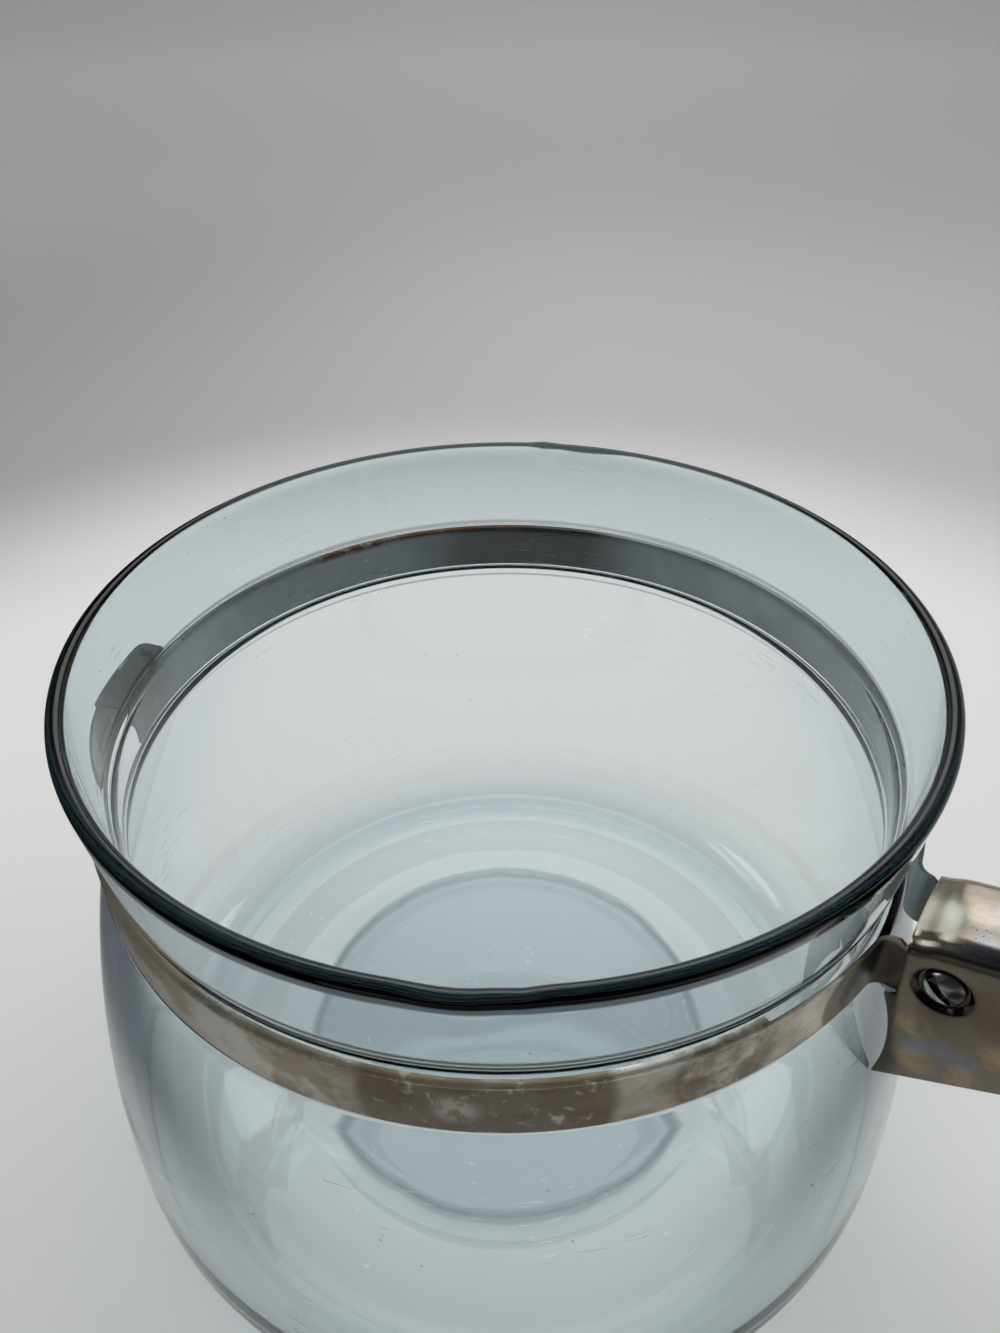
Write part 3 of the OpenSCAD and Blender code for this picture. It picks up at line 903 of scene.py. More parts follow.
@dataclass
class Vessel:
    """The glass vessel: a flared collar, a groove for the strap and a swelling body.

    Attributes:
        foot_inner: Points inside the foot, as distance from its inner edge and share of its lift.
        foot_outer: Points outside it, as distance from its outer edge and height.
        pad_foot: Points at the floor pad's foot, as distance from its radius and height over the glass.
        pad_edge: Points at its upper edge, as distance from its radius and height over its top.
        lips: The pulls that make the pouring lips.
    """

    rim_r: float = 89.6
    height: float = 140.0
    glass_t: float = 3.2
    bead_r: float = 1.7
    collar_low_r: float = 86.9
    collar_low_z: float = 116.3
    edge_round: float = 1.6
    neck_r: float = 85.6
    hollow_r: float = 1.3
    step_in: Point = (0.25, 0.4)
    step_end: float = 2.0
    crease_end: float = 246.0
    crease_drop: float = 0.5
    shoulder: Point = (86.35, 100.7)
    shoulder_round: float = 1.6
    belly_r: float = 100.35
    corner_r: float = 20.0
    corner_in_r: float = 21.0
    floor_t: float = 4.2
    pad_r: float = 57.0
    pad_foot: tuple[Point, ...] = ((6.0, 0.0), (3.5, 0.12), (1.0, 0.55))
    pad_edge: tuple[Point, ...] = ((-1.5, -0.1), (-4.0, 0.0))
    foot_r: Point = (52.0, 60.0)
    foot_lift: float = 0.7
    foot_inner: tuple[Point, ...] = ((-5.0, 1.0), (-3.0, 0.85), (-1.2, 0.3))
    foot_edge_z: Point = (0.05, 0.04)
    foot_round: float = 1.5
    foot_outer: tuple[Point, ...] = ((3.0, 0.22), (7.0, 0.42), (13.0, 0.55))
    segments: int = 240
    lips: tuple[Pull, ...] = (
        Pull(-58.0, 0.45, 0.2, 11.0),
        Pull(-52.5, 0.45, 0.0, 4.5),
        Pull(111.0, 0.8, 0.35, 15.0),
        Pull(118.5, 0.7, -0.1, 5.0),
    )

    def _side(self) -> tuple[Point, float, float]:
        """Circle of the body's side, which touches the corner below it and the shoulder above it.

        Returns:
            Its centre, its radius, and its turn where it meets the shoulder, in degrees.
        """
        swell = self.belly_r - self.shoulder[0]
        rise = self.shoulder[1] - self.corner_r
        radius = (swell**2 + rise**2 - self.shoulder_round**2) / (2 * (swell - self.shoulder_round))
        turn = math.degrees(math.atan2(rise, radius - swell))
        return (self.belly_r - radius, self.corner_r), radius, turn

    def _hollow(self) -> tuple[Point, float]:
        """Circle of the hollow between the neck and the shoulder.

        Returns:
            Its centre, and the turn from the shoulder's centre to it, in degrees.
        """
        middle_r = self.neck_r + self.hollow_r
        reach = self.hollow_r + self.shoulder_round
        middle_z = self.shoulder[1] + math.sqrt(reach**2 - (middle_r - self.shoulder[0]) ** 2)
        turn = math.degrees(math.atan2(middle_z - self.shoulder[1], middle_r - self.shoulder[0]))
        return (middle_r, middle_z), turn

    def _underside(self) -> list[Point]:
        """Outline of the base, from its middle to where the corner starts.

        Returns:
            Its points.
        """
        foot_in, foot_out = self.foot_r
        in_z, out_z = self.foot_edge_z
        lift = self.foot_lift
        points = [(0.0, lift), (foot_in / 2, lift)]
        points += [(foot_in + out, lift * share) for out, share in self.foot_inner]
        points += [(foot_in, in_z), (foot_in + self.foot_round, 0.0)]
        points += [(foot_out - self.foot_round, 0.0), (foot_out, out_z)]
        return points + [(foot_out + out, up) for out, up in self.foot_outer]

    def _outside(self) -> list[Point]:
        """Outline from the corner up to the inner side of the rim bead.

        Returns:
            Its points.
        """
        side_centre, side_r, side_turn = self._side()
        hollow_centre, hollow_turn = self._hollow()
        edge = (self.collar_low_r - self.edge_round, self.collar_low_z + self.edge_round)
        bead = (self.rim_r - self.bead_r, self.height - self.bead_r)
        lean = math.degrees(math.asin((self.bead_r - self.edge_round) / math.dist(edge, bead)))
        lean -= math.degrees(math.atan2(bead[0] - edge[0], bead[1] - edge[1]))
        edge_start = -math.degrees(math.acos((self.neck_r - edge[0]) / self.edge_round))
        points = arc((self.belly_r - self.corner_r, self.corner_r), self.corner_r, -75, 0, 14)
        points += arc(side_centre, side_r, 0, side_turn, 24)[1:]
        points += arc(self.shoulder, self.shoulder_round, side_turn, hollow_turn, 6)[1:]
        points += arc(hollow_centre, self.hollow_r, 180 + hollow_turn, 180, 5)[1:]
        collar_edge = arc(edge, self.edge_round, edge_start, lean, 7)
        rim = arc(bead, self.bead_r, lean, 180 + lean, 14)
        points += line(points[-1], collar_edge[0], 4) + collar_edge
        return points + line(collar_edge[-1], rim[0], 9) + rim

    def _inside(self, rim: Point) -> list[Point]:
        """Outline from the rim bead down to the middle of the floor.

        Args:
            rim: Last point of the rim bead.

        Returns:
            Its points.
        """
        side_centre, side_r, _ = self._side()
        hollow_centre, _ = self._hollow()
        collar_low = (self.collar_low_r - self.glass_t, self.collar_low_z + self.edge_round)
        neck_in_r = self.neck_r - self.glass_t
        step_out, step_down = self.step_in
        points = line(rim, collar_low, 9) + [collar_low]
        points += [(neck_in_r + step_out, self.collar_low_z - step_down)]
        points += [(neck_in_r, self.collar_low_z - self.step_end)]
        crease = arc(hollow_centre, self.hollow_r + self.glass_t, 180, self.crease_end, 8)
        points += line(points[-1], crease[0], 4) + crease
        side_in_r = side_r - self.glass_t
        start = math.degrees(math.asin((crease[-1][1] - self.crease_drop - self.corner_r) / side_in_r))
        lift = self.glass_t + self.corner_in_r - self.corner_r
        corner_x = side_centre[0] + math.sqrt((side_in_r - self.corner_in_r) ** 2 - lift**2)
        corner_turn = math.degrees(math.atan2(lift, corner_x - side_centre[0]))
        corner = (corner_x, self.glass_t + self.corner_in_r)
        points += arc(side_centre, side_in_r, start, corner_turn, 24)
        points += arc(corner, self.corner_in_r, corner_turn, -90, 14)[1:]
        points += [(self.pad_r + out, self.glass_t + up) for out, up in self.pad_foot]
        points += [(self.pad_r + out, self.floor_t + up) for out, up in self.pad_edge]
        return points + [(self.pad_r / 2, self.floor_t), (0.0, self.floor_t)]

    def profile(self) -> list[Point]:
        """Outline of the glass, from the middle of the underside to the middle of the floor.

        Returns:
            Points as distance from the axis and height, in millimetres.
        """
        outer = self._underside() + self._outside()
        return outer + self._inside(outer[-1])

    def build(self) -> Object:
        """Turn the vessel and pull out its two pouring lips.

        Returns:
            The glass vessel.
        """
        piece = turn_profile("vessel_glass_body", self.profile(), self.segments)
        for lip in self.lips:
            self._pull_lip(piece, lip)
        for polygon in piece.data.polygons:
            polygon.use_smooth = True
        return piece

    def _pull_lip(self, piece: Object, lip: Pull) -> None:
        """Pull the rim outwards and down round one place, falling off smoothly.

        Args:
            piece: The vessel.
            lip: Where and how far it is pulled.
        """
        aim = Vector((math.cos(math.radians(lip.turn)), math.sin(math.radians(lip.turn)), 0))
        top = aim * (self.rim_r - self.bead_r) * MM + Vector((0, 0, self.height * MM))
        clear_selection(piece)
        nearest = min(piece.data.vertices, key=lambda v: (v.co - top).length_squared)
        nearest.select = True
        pull_selected(piece, aim * lip.out * MM - Vector((0, 0, lip.down * MM)), lip.reach * MM)

    def dress(self, piece: Object, finish: GlassFinish, effects: Effects) -> None:
        """Give the vessel its glass and let it stand for its frame node.

        Args:
            piece: The vessel.
            finish: Its glass.
            effects: The shared effect groups.
        """
        piece.data.materials.append(finish.build(effects))
        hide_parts("glass_vessel")
        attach(piece, "vessel")


@dataclass
class SheetPiece:
    """A piece of pressed sheet that follows its frame node: a strap half or the handle."""

    node: str
    name: str
    slot: Steel
    edge: float = 0.12

    def build(self) -> Object:
        """Seam the node's copy and ease its sheet edges.

        Returns:
            The piece.
        """
        piece = seamed_copy(self.node, self.name)
        ease_edges(piece, self.edge)
        return piece

    def dress(self, piece: Object, material: Material) -> None:
        """Give the piece its steel and let it stand for its frame node.

        Args:
            piece: The piece.
            material: Its steel.
        """
        piece.data.materials.append(material)
        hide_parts(self.node)
        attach(piece, "vessel")


@dataclass
class Handle(SheetPiece):
    """The pressed handle, whose top is crowned and whose root end is drawn down.

    Attributes:
        root: Where the top starts, as distance from the axis and height, in millimetres.
        tilt: How far the handle rises, in degrees.
    """

    root: Point = (92.0, 117.55)
    tilt: float = 15.0
    crown: float = 0.6
    crown_reach: float = 9.0
    middle_band: float = 0.3
    drop: float = 0.7
    drop_reach: float = 4.6
    root_band: float = 0.6
    root_depth: float = 3.0
    cuts_along: tuple[float, ...] = (0.4, 0.9, 1.5, 2.2, 3.0, 4.0, 5.2, 7.0)
    cuts_across: tuple[float, ...] = (-5.4, -4.0, -2.6, -1.3, 0.0, 1.3, 2.6, 4.0, 5.4)

    def build(self) -> Object:
        """Seam the copy, cut its top into strips, crown it and draw its root end down.

        Returns:
            The handle.
        """
        piece = seamed_copy(self.node, self.name)
        along = Vector((math.cos(math.radians(self.tilt)), 0, math.sin(math.radians(self.tilt))))
        up = Vector((-along.z, 0, along.x))
        root = Vector((self.root[0], 0, self.root[1])) * MM
        edit(piece)
        for cut in self.cuts_along:
            bpy.ops.mesh.select_all(action="SELECT")
            bpy.ops.mesh.bisect(plane_co=root + along * cut * MM, plane_no=along)
        for cut in self.cuts_across:
            bpy.ops.mesh.select_all(action="SELECT")
            bpy.ops.mesh.bisect(plane_co=(0, cut * MM, 0), plane_no=(0, 1, 0))
        finish_edit()

        def at_middle(place: Vector) -> bool:
            """Say if a place lies on the handle's middle line."""
            return abs(place.y) < self.middle_band * MM

        self._pull(piece, up * self.crown, self.crown_reach, at_middle)

        def at_root(place: Vector) -> bool:
            """Say if a place lies at the top's root end."""
            high = (place - root).dot(up) > -self.root_depth * MM
            return high and abs((place - root).dot(along)) < self.root_band * MM

        self._pull(piece, up * -self.drop, self.drop_reach, at_root)
        ease_edges(piece, self.edge)
        return piece

    def _pull(self, piece: Object, pull: Vector, reach: float, chosen: Callable[[Vector], bool]) -> None:
        """Pull some of the handle's top along, falling off smoothly.

        Args:
            piece: The handle.
            pull: Direction and size of the pull, in millimetres.
            reach: How far the pull reaches, in millimetres.
            chosen: Says if a place is pulled.
        """
        clear_selection(piece)
        for vertex in piece.data.vertices:
            vertex.select = chosen(vertex.co)
        pull_selected(piece, pull * MM, reach * MM)


@dataclass
class Clamp:
    """The slotted clamp screw through the handle's root, and its nut."""

    centre: Place = (99.8, 0.0, 108.8)
    seat_y: float = 8.95
    head_r: float = 3.7
    head_h: float = 2.1
    rim_h: float = 0.5
    head_edge: float = 0.1
    shank_r: float = 2.08
    neck_fillet: float = 0.2
    tip_chamfer: float = 0.3
    screw_eased: float = 0.08
    end_y: float = 13.15
    driver_w: float = 1.5
    driver_turn: float = 35.0
    nut_af: float = 7.0
    nut_h: float = 2.6
    nut_play: float = 0.04
    nut_corner: Point = (0.56, 0.46)
    nut_chamfer: Place = (-2.0, 1.0, 1.3)
    nut_eased: float = 0.06

    def build_screw(self) -> Object:
        """Turn the screw with a domed head, cut its slot and lay it along Y.

        Returns:
            The screw.
        """
        dome = self.head_h - self.rim_h
        dome_r = (self.head_r**2 + dome**2) / (2 * dome)
        half = math.degrees(math.asin(self.head_r / dome_r))
        length = self.seat_y + self.end_y
        head = arc((0, self.head_h - dome_r), dome_r, 90, 90 - half, 12)
        shank = [(self.head_r, self.head_edge), (self.head_r - self.head_edge, 0.0)]
        shank += [(self.shank_r + self.neck_fillet, 0.0), (self.shank_r, -self.neck_fillet)]
        tip = [(self.shank_r, self.tip_chamfer - length), (self.shank_r - self.tip_chamfer, -length)]
        tip += [(0.0, -length)]
        piece = turn_profile("clamp_screw_body", head + shank + tip, 64)
        slot = add_primitive(CUBE, "slot_cutter", size=1, location=(0, 0, self.head_h * MM))
        slot.scale = (4 * self.head_r * MM, self.driver_w * MM, self.head_h * MM)
        slot.rotation_euler = (0, 0, math.radians(-self.driver_turn))
        settle(slot)
        cut_with(piece, slot, Cut.AWAY)
        piece.matrix_world = self._seat(-self.seat_y) @ Matrix.Rotation(math.radians(90), 4, "X")
        settle(piece)
        ease_edges(piece, self.screw_eased)
        return piece

    def build_nut(self) -> Object:
        """Shape a six-sided nut with chamfered corners and a bore.

        Returns:
            The nut.
        """
        radius = self.nut_af / 2 / math.cos(math.radians(30)) * MM
        depth = self.nut_h * MM
        piece = add_primitive(CYLINDER, "clamp_nut_body", vertices=6, radius=radius, depth=depth)
        piece.rotation_euler = (math.radians(90), 0, 0)
        settle(piece)
        clear_selection(piece)
        wide, narrow = (self.nut_af * share for share in self.nut_corner)
        low, start, top = self.nut_chamfer
        round_cut = [(0.0, low), (wide, low), (wide, start), (narrow, top), (0.0, top)]
        trim = turn_profile("nut_trim", round_cut, 48)
        trim.matrix_world = Matrix.Rotation(math.radians(-90), 4, "X")
        settle(trim)
        cut_with(piece, trim, Cut.WITHIN)
        bore_r = (self.shank_r + self.nut_play) * MM
        bore = add_primitive(CYLINDER, "bore_cutter", vertices=48, radius=bore_r, depth=4 * depth)
        bore.rotation_euler = (math.radians(90), 0, 0)
        settle(bore)
        cut_with(piece, bore, Cut.AWAY)
        piece.matrix_world = self._seat(self.seat_y + self.nut_h / 2)
        settle(piece)
        ease_edges(piece, self.nut_eased)
        return piece

    def _seat(self, y: float) -> Matrix:
        """Move from the origin to the screw's middle line, at y in millimetres."""
        return Matrix.Translation(Vector((self.centre[0], y, self.centre[2])) * MM)

    def dress(self, screw: Object, nut: Object, steels: dict[Steel, Material]) -> None:
        """Give both pieces their steel and let them ride on their bodies.

        Args:
            screw: The screw.
            nut: The nut.
            steels: The steels by name.
        """
        for piece, slot, node, body in (
            (screw, Steel.SCREW, "clamp_screw", "screw"),
            (nut, Steel.NUT, "clamp_nut", "nut"),
        ):
            piece.data.materials.append(steels[slot])
            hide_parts(node)
            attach(piece, body)


# The studio


@dataclass(frozen=True)
class Lamp:
    """A soft round lamp that shines on the object.

    Attributes:
        name: Its name.
        right: How far right of the object it hangs, as the camera sees it, in metres.
        back: How far behind the object it hangs, in metres.
        up: How high it hangs, in metres.
        size: Its width, in metres.
        power: Its power, in watts.
    """

    name: str
    right: float
    back: float
    up: float
    size: float
    power: float


@dataclass
class Studio:
    """The table, the lamps, the surroundings and the camera."""

    effects: Effects
    camera_place: Place = (0.10145, -0.13912, 0.25917)
    camera_turn: float = 36.1
    pitch: float = 37.03
    yaw: float = -0.255
    roll: float = -0.722
    focal_px: float = 1016.3
    frame_px: tuple[int, int] = (1000, 1333)
    # Painted light and shade on the table: darker near the camera on the left, lit on the right, shaded grey
    # from a little way round the object and farther off, and paler again far away.
    table_pale: Colour = (0.82, 0.82, 0.81, 1.0)
    table_near_shade: Colour = (0.46, 0.47, 0.46, 1.0)
    table_lit: Colour = (0.85, 0.86, 0.82, 1.0)
    table_grey: Colour = (0.49, 0.49, 0.49, 1.0)
    table_dim: Colour = (0.35, 0.35, 0.35, 1.0)
    table_far_shade: Colour = (0.45, 0.45, 0.45, 1.0)
    table_end: Colour = (0.85, 0.85, 0.85, 1.0)
    lit_side: Point = (-0.02, 0.20)
    pale_depth: Point = (-0.32, 0.17)
    grey_side: Point = (-0.45, 0.10)
    shade_reach: Point = (0.28, 0.46)
    far_reach: Point = (0.6, 1.2)
    end_reach: Point = (0.8, 2.5)
    dust_tint: Colour = (0.28, 0.25, 0.22, 1.0)
    dust_share: float = 0.35
    dust_scale: float = 60.0
    dust_size: float = 0.035
    table_size: float = 24.0
    table_drop: float = 0.0001
    table_rough: float = 0.55
    table_grain: float = 180.0
    table_relief: float = 0.00001
    lamps: tuple[Lamp, ...] = (
        Lamp("overhead", 0.0, 0.35, 1.5, 1.3, 11.8),
        Lamp("left", -1.3, 0.0, 0.9, 0.7, 3.0),
        Lamp("right", 1.2, 0.5, 0.8, 0.6, 2.4),
    )
    lamp_aim_z: float = 0.05
    room_dark: Colour = (0.012, 0.014, 0.017, 1.0)
    room_grey: Colour = (0.42, 0.425, 0.425, 1.0)
    room_dim: Colour = (0.07, 0.073, 0.077, 1.0)
    room_pale: Colour = (0.36, 0.36, 0.36, 1.0)
    room_light: Colour = (0.34, 0.345, 0.345, 1.0)
    room_window: Colour = (1.7, 1.7, 1.66, 1.0)
    room_lean: float = 0.25
    room_dim_height: Point = (0.10, 0.42)
    room_far: Point = (0.0, 0.8)
    window_height: float = 38.0
    window_side: float = 4.0
    window_reach: Point = (22.0, 6.0)
    # Dark cards of painted shade, which only reflections show.
    card_from: float = 0.18
    card_depth: float = 0.9
    card_width: float = 0.40
    card_lift: float = 0.001
    left_card: Point = (0.105, 0.30)
    left_card_depth: Point = (-0.17, 0.26)
    left_card_fade: Point = (-0.14, 0.06)
    left_card_inner: Point = (0.105, 0.165)
    left_card_pale: Colour = (0.54, 0.55, 0.54, 1.0)
    front_cloth: Point = (0.16, 0.10)
    left_cloth: Point = (0.14, 0.08)
    side_cloth: Point = (0.03, 0.012)
    card_noise_scale: float = 900.0
    card_rough: float = 0.9
    ring_r: float = 0.25
    ring_h: float = 0.30
    ring_open: float = 0.5

    def aim(self) -> tuple[Vector, Vector, Vector]:
        """Right, up and forward of the camera, from its pitch, yaw and roll.

        Returns:
            Three unit vectors.
        """
        pitch, yaw, roll = (math.radians(a) for a in (self.pitch, self.yaw, self.roll))
        ahead = Vector((math.sin(yaw) * math.cos(pitch), math.cos(yaw) * math.cos(pitch), -math.sin(pitch)))
        ahead.rotate(Matrix.Rotation(math.radians(self.camera_turn), 3, "Z"))
        right = ahead.cross(Vector((0, 0, 1))).normalized()
        up = right.cross(ahead)
        rolled_right = right * math.cos(roll) + up * math.sin(roll)
        rolled_up = up * math.cos(roll) - right * math.sin(roll)
        return rolled_right, rolled_up, ahead

    def back(self) -> Vector:
        """Level direction from the camera to the vessel."""
        turn = math.radians(90 + self.camera_turn)
        return Vector((math.cos(turn), math.sin(turn), 0))

    def place_camera(self) -> None:
        """Create the camera and make it the scene's."""
        data = bpy.data.cameras.new("camera")
        data.sensor_width = 36.0
        data.lens = self.focal_px / max(self.frame_px) * data.sensor_width
        data.clip_start = 0.01
        data.clip_end = 100.0
        camera = bpy.data.objects.new("camera", data)
        bpy.context.scene.collection.objects.link(camera)
        right, up, ahead = self.aim()
        turn = Matrix((right, up, -ahead)).transposed().to_4x4()
        camera.matrix_world = Matrix.Translation(Vector(self.camera_place)) @ turn
        bpy.context.scene.camera = camera

    def lay_table(self) -> None:
        """Lay the pale table, with painted light and shade in its colour: darker near the camera on the
        left, lit on the right, shaded grey from a little way round the object and farther off, and paler
        again far away.
        """
        table = add_primitive(PLANE, "table", size=self.table_size, location=(0, 0, -self.table_drop))
        settle(table)
        material, graph, shader, _ = new_material("table_top")
        place = graph.add("TexCoord").outputs["Object"]
        back = self.back()
        far = graph.vector("DOT_PRODUCT", place, tuple(back))
        side = graph.vector("DOT_PRODUCT", place, (back.y, -back.x, 0))
        away = graph.vector("LENGTH", place)
        near = graph.mix(graph.remap(side, *self.lit_side), self.table_near_shade, self.table_lit)
        colour = graph.mix(graph.remap(far, *self.pale_depth), near, self.table_pale)
        shaded = graph.mix(graph.remap(side, *self.grey_side), self.table_dim, self.table_grey)
        colour = graph.mix(graph.remap(away, *self.shade_reach), colour, shaded)
        colour = graph.mix(graph.remap(away, *self.far_reach), colour, self.table_far_shade)
        colour = graph.mix(graph.remap(away, *self.end_reach), colour, self.table_end)
        dust = graph.group(self.effects.pits, Vector=place, Scale=self.dust_scale, Size=self.dust_size)
        dusty = graph.times(dust.outputs["Mask"], self.dust_share)
        colour = graph.mix(dusty, colour, self.dust_tint)
        grain = graph.noise(place, self.table_grain, 2.0)
        normal = graph.bump(self.table_relief, grain)
        graph.fill(shader, {"Base Color": colour, "Roughness": self.table_rough, "Normal": normal})
        table.data.materials.append(material)

    def hang_lamps(self) -> None:
        """Hang the soft lamps: a wide one overhead towards the back, and two fills."""
        back = self.back()
        right = Vector((back.y, -back.x, 0))
        for lamp in self.lamps:
            data = bpy.data.lights.new(lamp.name, "AREA")
            data.shape = "DISK"
            data.size = lamp.size
            data.energy = lamp.power
            hung = bpy.data.objects.new(lamp.name, data)
            bpy.context.scene.collection.objects.link(hung)
            hung.location = right * lamp.right + back * lamp.back + Vector((0, 0, lamp.up))
            hung.rotation_mode = "QUATERNION"
            aim = Vector((0, 0, self.lamp_aim_z)) - hung.location
            hung.rotation_quaternion = aim.to_track_quat("-Z", "Y")
            hung.visible_glossy = False

    def place_cards(self) -> None:
        """Place dark cards of painted shade that only reflections show: two lying flat and one curved round
        the left.
        """
        back = self.back()
        left = Vector((-back.y, back.x, 0))
        before = back * -(self.card_from + self.card_depth / 2)
        beside = left * sum(self.left_card) / 2 + back * sum(self.left_card_depth) / 2
        beside_size = [b - a for a, b in (self.left_card, self.left_card_depth)]
        front = self._lay_card("front_card", before, (self.card_width, self.card_depth))
        self._shade_card(front, *self.front_cloth)
        self._shade_card(self._lay_card("left_card", beside, beside_size), *self.left_cloth, fading=True)
        self._shade_card(self._curve_card(left), *self.side_cloth)

    def _lay_card(self, name: str, middle: Vector, size: tuple[float, float]) -> Object:
        """Lay a card just above the table, square to the camera.

        Args:
            name: Its name.
            middle: Its middle.
            size: Its width and depth, in metres.

        Returns:
            The card.
        """
        card = add_primitive(PLANE, name, size=1, location=(middle.x, middle.y, self.card_lift))
        card.scale = (*size, 1)
        card.rotation_euler = (0, 0, math.radians(self.camera_turn))
        settle(card)
        return card

    def _curve_card(self, left: Vector) -> Object:
        """Stand a curved card round the object's left.

        Args:
            left: Level direction to the camera's left.

        Returns:
            The card.
        """
        ring = add_primitive(
            CYLINDER,
            "side_card",
            vertices=64,
            radius=self.ring_r,
            depth=self.ring_h,
            end_fill_type="NOTHING",
            location=(0, 0, self.ring_h / 2 + 2 * self.card_lift),
        )
        settle(ring)
        clear_selection(ring)
        for face in ring.data.polygons:
            face.select = Vector(face.center).dot(left) < self.ring_open * self.ring_r
        bpy.ops.object.mode_set(mode="EDIT")
        bpy.ops.mesh.select_mode(type="FACE")
        bpy.ops.mesh.delete(type="FACE")
        finish_edit()
        return ring

    def _shade_card(self, card: Object, pale: float, dark: float, fading: bool = False) -> None:
        """Give a card its painted shade, dark grey with a fine noise, and let only reflections see it.

        Args:
            card: The card.
            pale: Grey of the painted shade's paler noise.
            dark: Grey of its darker noise.
            fading: Say if it fades to the table's tone at its near and inner edges.
        """
        material, graph, shader, _ = new_material(card.name + "_cloth")
        place = graph.add("TexCoord").outputs["Object"]
        card_noise = graph.noise(place, self.card_noise_scale, 3.0)
        card_shade = graph.mix(card_noise, (dark, dark, dark * 1.1, 1.0), (pale, pale, pale * 1.1, 1.0))
        if fading:
            back = self.back()
            far = graph.vector("DOT_PRODUCT", place, tuple(back))
            out = graph.vector("DOT_PRODUCT", place, (-back.y, back.x, 0))
            deep = graph.remap(far, *self.left_card_fade)
            share = graph.times(deep, graph.remap(out, *self.left_card_inner))
            card_shade = graph.mix(share, self.left_card_pale, card_shade)
        graph.fill(shader, {"Base Color": card_shade, "Roughness": self.card_rough})
        card.data.materials.append(material)
        card.visible_camera = False
        card.visible_diffuse = False
        card.visible_transmission = False
        card.visible_shadow = False

    def surround(self) -> None:
        """Set the world: plain light on every surface, and a room with a pale far side in reflections."""
        world = bpy.data.worlds.new("room")
        bpy.context.scene.world = world
        world.use_nodes = True
        graph = Graph(world.node_tree)
        ray = graph.add("TexCoord").outputs["Generated"]
        height = graph.axes(ray)[2]
        toward = graph.vector("DOT_PRODUCT", ray, tuple(self.back()))
        facing = graph.math("ADD", toward, graph.times(height, self.room_lean))
        upper = graph.mix(graph.remap(height, *self.room_dim_height), self.room_grey, self.room_dim)
        room = graph.mix(graph.remap(facing, *self.room_far), self.room_dark, upper)
        lift = math.radians(self.window_height)
        aim = self.back() * math.cos(lift) + Vector((0, 0, math.sin(lift)))
        aim.rotate(Matrix.Rotation(math.radians(-self.window_side), 3, "Z"))
        window = graph.vector("DOT_PRODUCT", ray, tuple(aim))
        lit = graph.remap(window, *(math.cos(math.radians(turn)) for turn in self.window_reach))
        glossy = graph.mix(lit, room, self.room_window)
        path = graph.add("LightPath").outputs
        seen = graph.mix(path["Is Camera Ray"], self.room_light, self.room_pale)
        seen = graph.mix(path["Is Transmission Ray"], seen, glossy)
        seen = graph.mix(path["Is Glossy Ray"], seen, glossy)
        graph.add("OutputWorld", graph.add("Background", seen, 1.0).outputs[0])

    def build(self) -> None:
        """Set up everything round the object."""
        self.place_camera()
        self.lay_table()
        self.hang_lamps()
        self.place_cards()
        self.surround()
        bpy.context.scene.view_settings.view_transform = "Standard"


# The steels


def on_screw(y: float, step: int = 0) -> Place:
    """Place on the screw's middle line, moved some steps along its slot."""
    return (SCREW_XZ[0] + SLOT_STEP[0] * step, y, SCREW_XZ[1] + SLOT_STEP[1] * step)


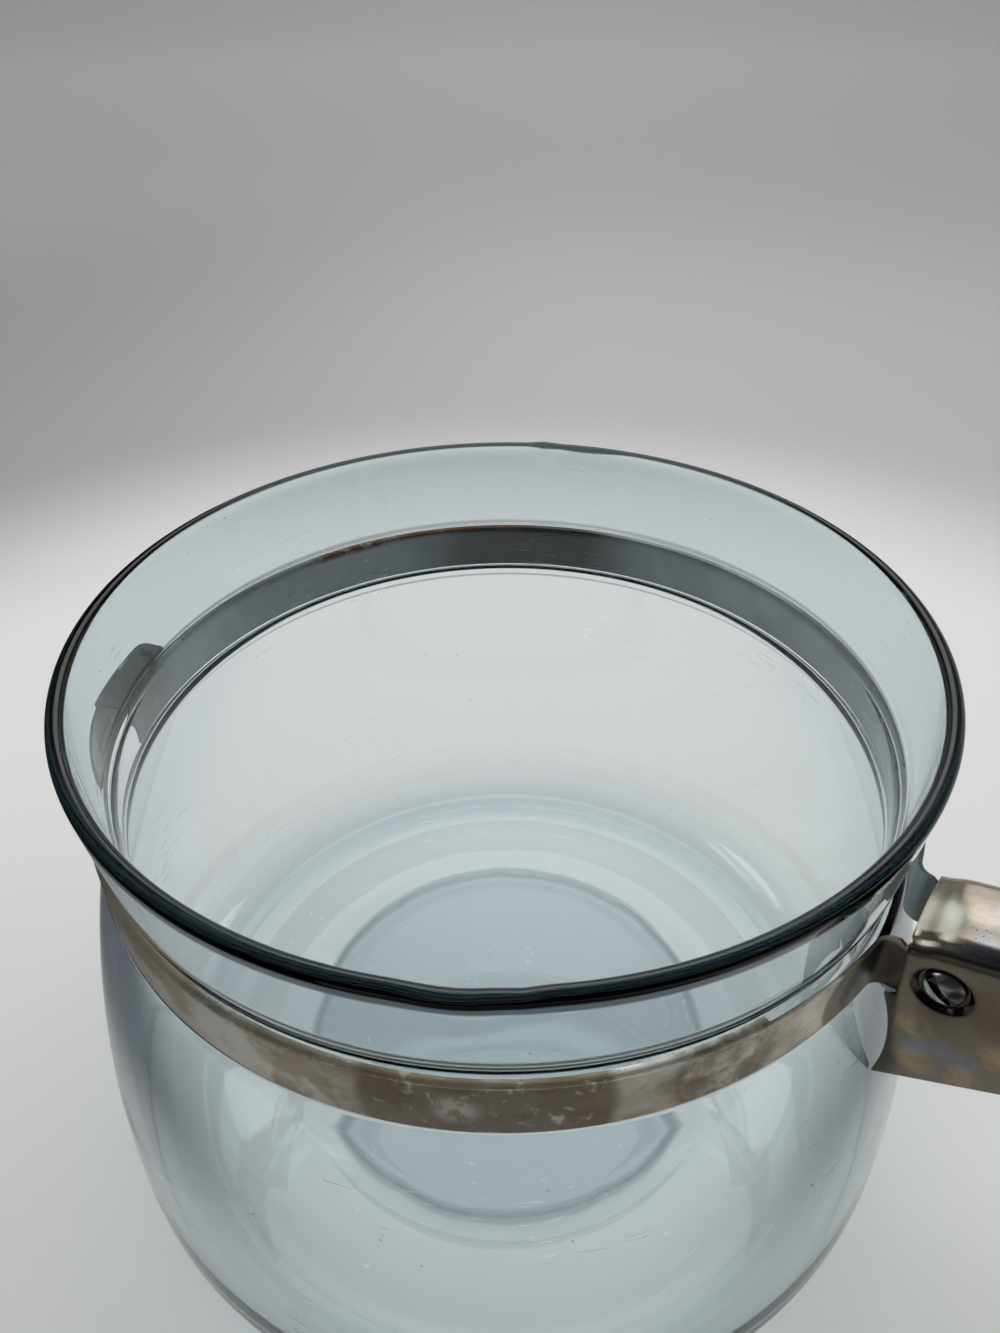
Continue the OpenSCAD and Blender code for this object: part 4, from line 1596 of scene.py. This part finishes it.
STEELS = (
    SteelFinish(
        name=Steel.FRONT,
        clean=(0.56, 0.53, 0.48, 1.0),
        stained=(0.35, 0.28, 0.20, 1.0),
        tinted=(0.42, 0.36, 0.28, 1.0),
        roughness=0.36,
        stain_scale=34.0,
        stain_level=0.52,
        stain_soft=0.05,
        tint_scale=70.0,
        marks=(
            Patch(Mark.BROWN, (0.0485, -0.0722, 0.109), 0.0220, 0.38, full=0.88),
            Patch(Mark.BROWN, (0.0745, -0.0440, 0.109), 0.0120, 0.46, full=0.7, soft=0.2),
            Patch(Mark.BROWN, (0.0868, -0.0165, 0.108), 0.0095, 0.05, full=0.9),
            Patch(Mark.PALE, (0.0450, -0.0755, 0.109), 0.0050, 0.45),
            # Painted shade: a dark reflection on the strap beside the lug bend.
            Patch(Mark.PAINTED_SHADE, (0.0888, -0.0136, 0.1080), 0.0085, 0.0, full=0.85),
            Patch(Mark.BROWN, (0.0170, -0.0870, 0.1148), 0.0260, 0.40, 0.1139, full=0.6, soft=0.15),
            # Painted shadow where the strap's end passes under the clip's shelf.
            Patch(Mark.PAINTED_SHADE, (-0.0845, -0.0305, 0.1165), 0.0032, 0.0, full=0.8),
        ),
    ),
    # Painted shade: the same strap steel as the front half, in darker, cooler copies of its colours.
    SteelFinish(
        name=Steel.REAR_SHADED,
        clean=(0.34, 0.35, 0.355, 1.0),
        stained=(0.27, 0.27, 0.265, 1.0),
        tinted=(0.29, 0.31, 0.33, 1.0),
        roughness=0.36,
        stain_scale=34.0,
        stain_soft=0.12,
        tint_scale=50.0,
        marks=(
            Patch(Mark.BROWN, (-0.0813, -0.0397, 0.1155), 0.0160, 0.34, soft=0.2),
            # Painted shade over the back of the rear strap.
            Patch(Mark.PAINTED_SHADE, (-0.0460, 0.0750, 0.1090), 0.0400, 0.20),
        ),
        rust=(
            Patch(None, (-0.0795, 0.0365, 0.115), 0.014, 0.43, 0.1120, full=0.5),
            Patch(None, (-0.0610, 0.0630, 0.115), 0.024, 0.42, 0.1130, full=0.6),
        ),
    ),
    SteelFinish(
        name=Steel.HANDLE,
        clean=(0.52, 0.48, 0.42, 1.0),
        stained=(0.44, 0.36, 0.27, 1.0),
        tinted=(0.36, 0.38, 0.42, 1.0),
        roughness=0.17,
        grain_depth=0.000008,
        stain_scale=48.0,
        stain_level=0.50,
        stain_soft=0.17,
        tint_scale=64.0,
        tint_level=0.60,
        pit_scale=1300.0,
        pit_size=0.28,
        wrapped=False,
        # Painted shade on both side cheeks of the handle.
        cheek_shade_from=0.0092,
        marks=(
            Patch(Mark.BROWN, (0.1085, CHEEK_Y, 0.1100), 0.0090, 0.30, full=0.5),
            Patch(Mark.TAN, (0.0975, CHEEK_Y, 0.0970), 0.0045, 0.46, soft=0.2),
            Patch(Mark.TAN, (0.0995, CHEEK_Y, 0.0885), 0.0050, 0.44, soft=0.2),
            Patch(Mark.TAN, (0.1075, CHEEK_Y, 0.0895), 0.0050, 0.46, soft=0.2),
            Patch(Mark.TAN, (0.1120, CHEEK_Y, 0.0985), 0.0050, 0.46, soft=0.2),
            Patch(Mark.BLUE, (0.0990, CHEEK_Y, 0.0925), 0.0034, 0.44, soft=0.2),
            Patch(Mark.BLUE, (0.1032, CHEEK_Y, 0.0948), 0.0036, 0.44, soft=0.2),
            Patch(Mark.BLUE, (0.1075, CHEEK_Y, 0.0945), 0.0036, 0.46, soft=0.2),
            # Painted shade in the dimples round the screw, on both cheeks.
            Patch(Mark.PAINTED_SHADE, on_screw(CHEEK_Y), 0.0060, 0.1, full=0.84),
            Patch(Mark.PAINTED_SHADE, on_screw(-CHEEK_Y), 0.0060, 0.1, full=0.84),
        ),
    ),
    SteelFinish(
        name=Steel.SCREW,
        clean=(0.66, 0.65, 0.63, 1.0),
        stained=(0.52, 0.49, 0.46, 1.0),
        tinted=(0.56, 0.53, 0.50, 1.0),
        roughness=0.24,
        stain_scale=400.0,
        tint_scale=500.0,
        pit_scale=2600.0,
        pit_size=0.08,
        wrapped=False,
        marks=(
            # Painted shade along the slot, and on one side of the domed head.
            *(Patch(Mark.PAINTED_SHADE, on_screw(HEAD_Y, step), 0.00108, 0.0, full=0.85) for step in range(-4, 5)),
            Patch(Mark.PAINTED_SHADE, (0.1021, HEAD_Y, 0.1091), 0.0023, 0.0, full=0.55),
        ),
        rust=(Patch(None, (0.1005, HEAD_Y, 0.1083), 0.0011, 0.3),),
    ),
    SteelFinish(
        name=Steel.NUT,
        clean=(0.50, 0.49, 0.47, 1.0),
        stained=(0.30, 0.26, 0.22, 1.0),
        tinted=(0.36, 0.33, 0.30, 1.0),
        roughness=0.4,
        stain_scale=400.0,
        tint_scale=500.0,
        pit_scale=2400.0,
        wrapped=False,
    ),
)


def main() -> None:
    """Build the pieces, the finishes and the studio."""
    logging.basicConfig(level=logging.INFO, format="%(name)s: %(message)s")
    effects = Effects()
    steels = {finish.name: finish.build(effects) for finish in STEELS}

    vessel = Vessel()
    glass = vessel.build()
    vessel.dress(glass, GlassFinish(), effects)
    LOG.info("vessel turned: %d faces", len(glass.data.polygons))

    for sheet in (
        SheetPiece("front_strap", "front_strap_body", Steel.FRONT),
        SheetPiece("rear_strap", "rear_strap_body", Steel.REAR_SHADED),
        Handle("handle_shell", "handle_shell_body", Steel.HANDLE, edge=0.16),
    ):
        piece = sheet.build()
        sheet.dress(piece, steels[sheet.slot])
        LOG.info("%s seamed: %d faces", sheet.name, len(piece.data.polygons))

    clamp = Clamp()
    screw = clamp.build_screw()
    nut = clamp.build_nut()
    clamp.dress(screw, nut, steels)
    for piece in (screw, nut):
        LOG.info("%s made: %d faces", piece.name, len(piece.data.polygons))

    Studio(effects).build()
    LOG.info("size noted")


if __name__ == "__main__":
    main()
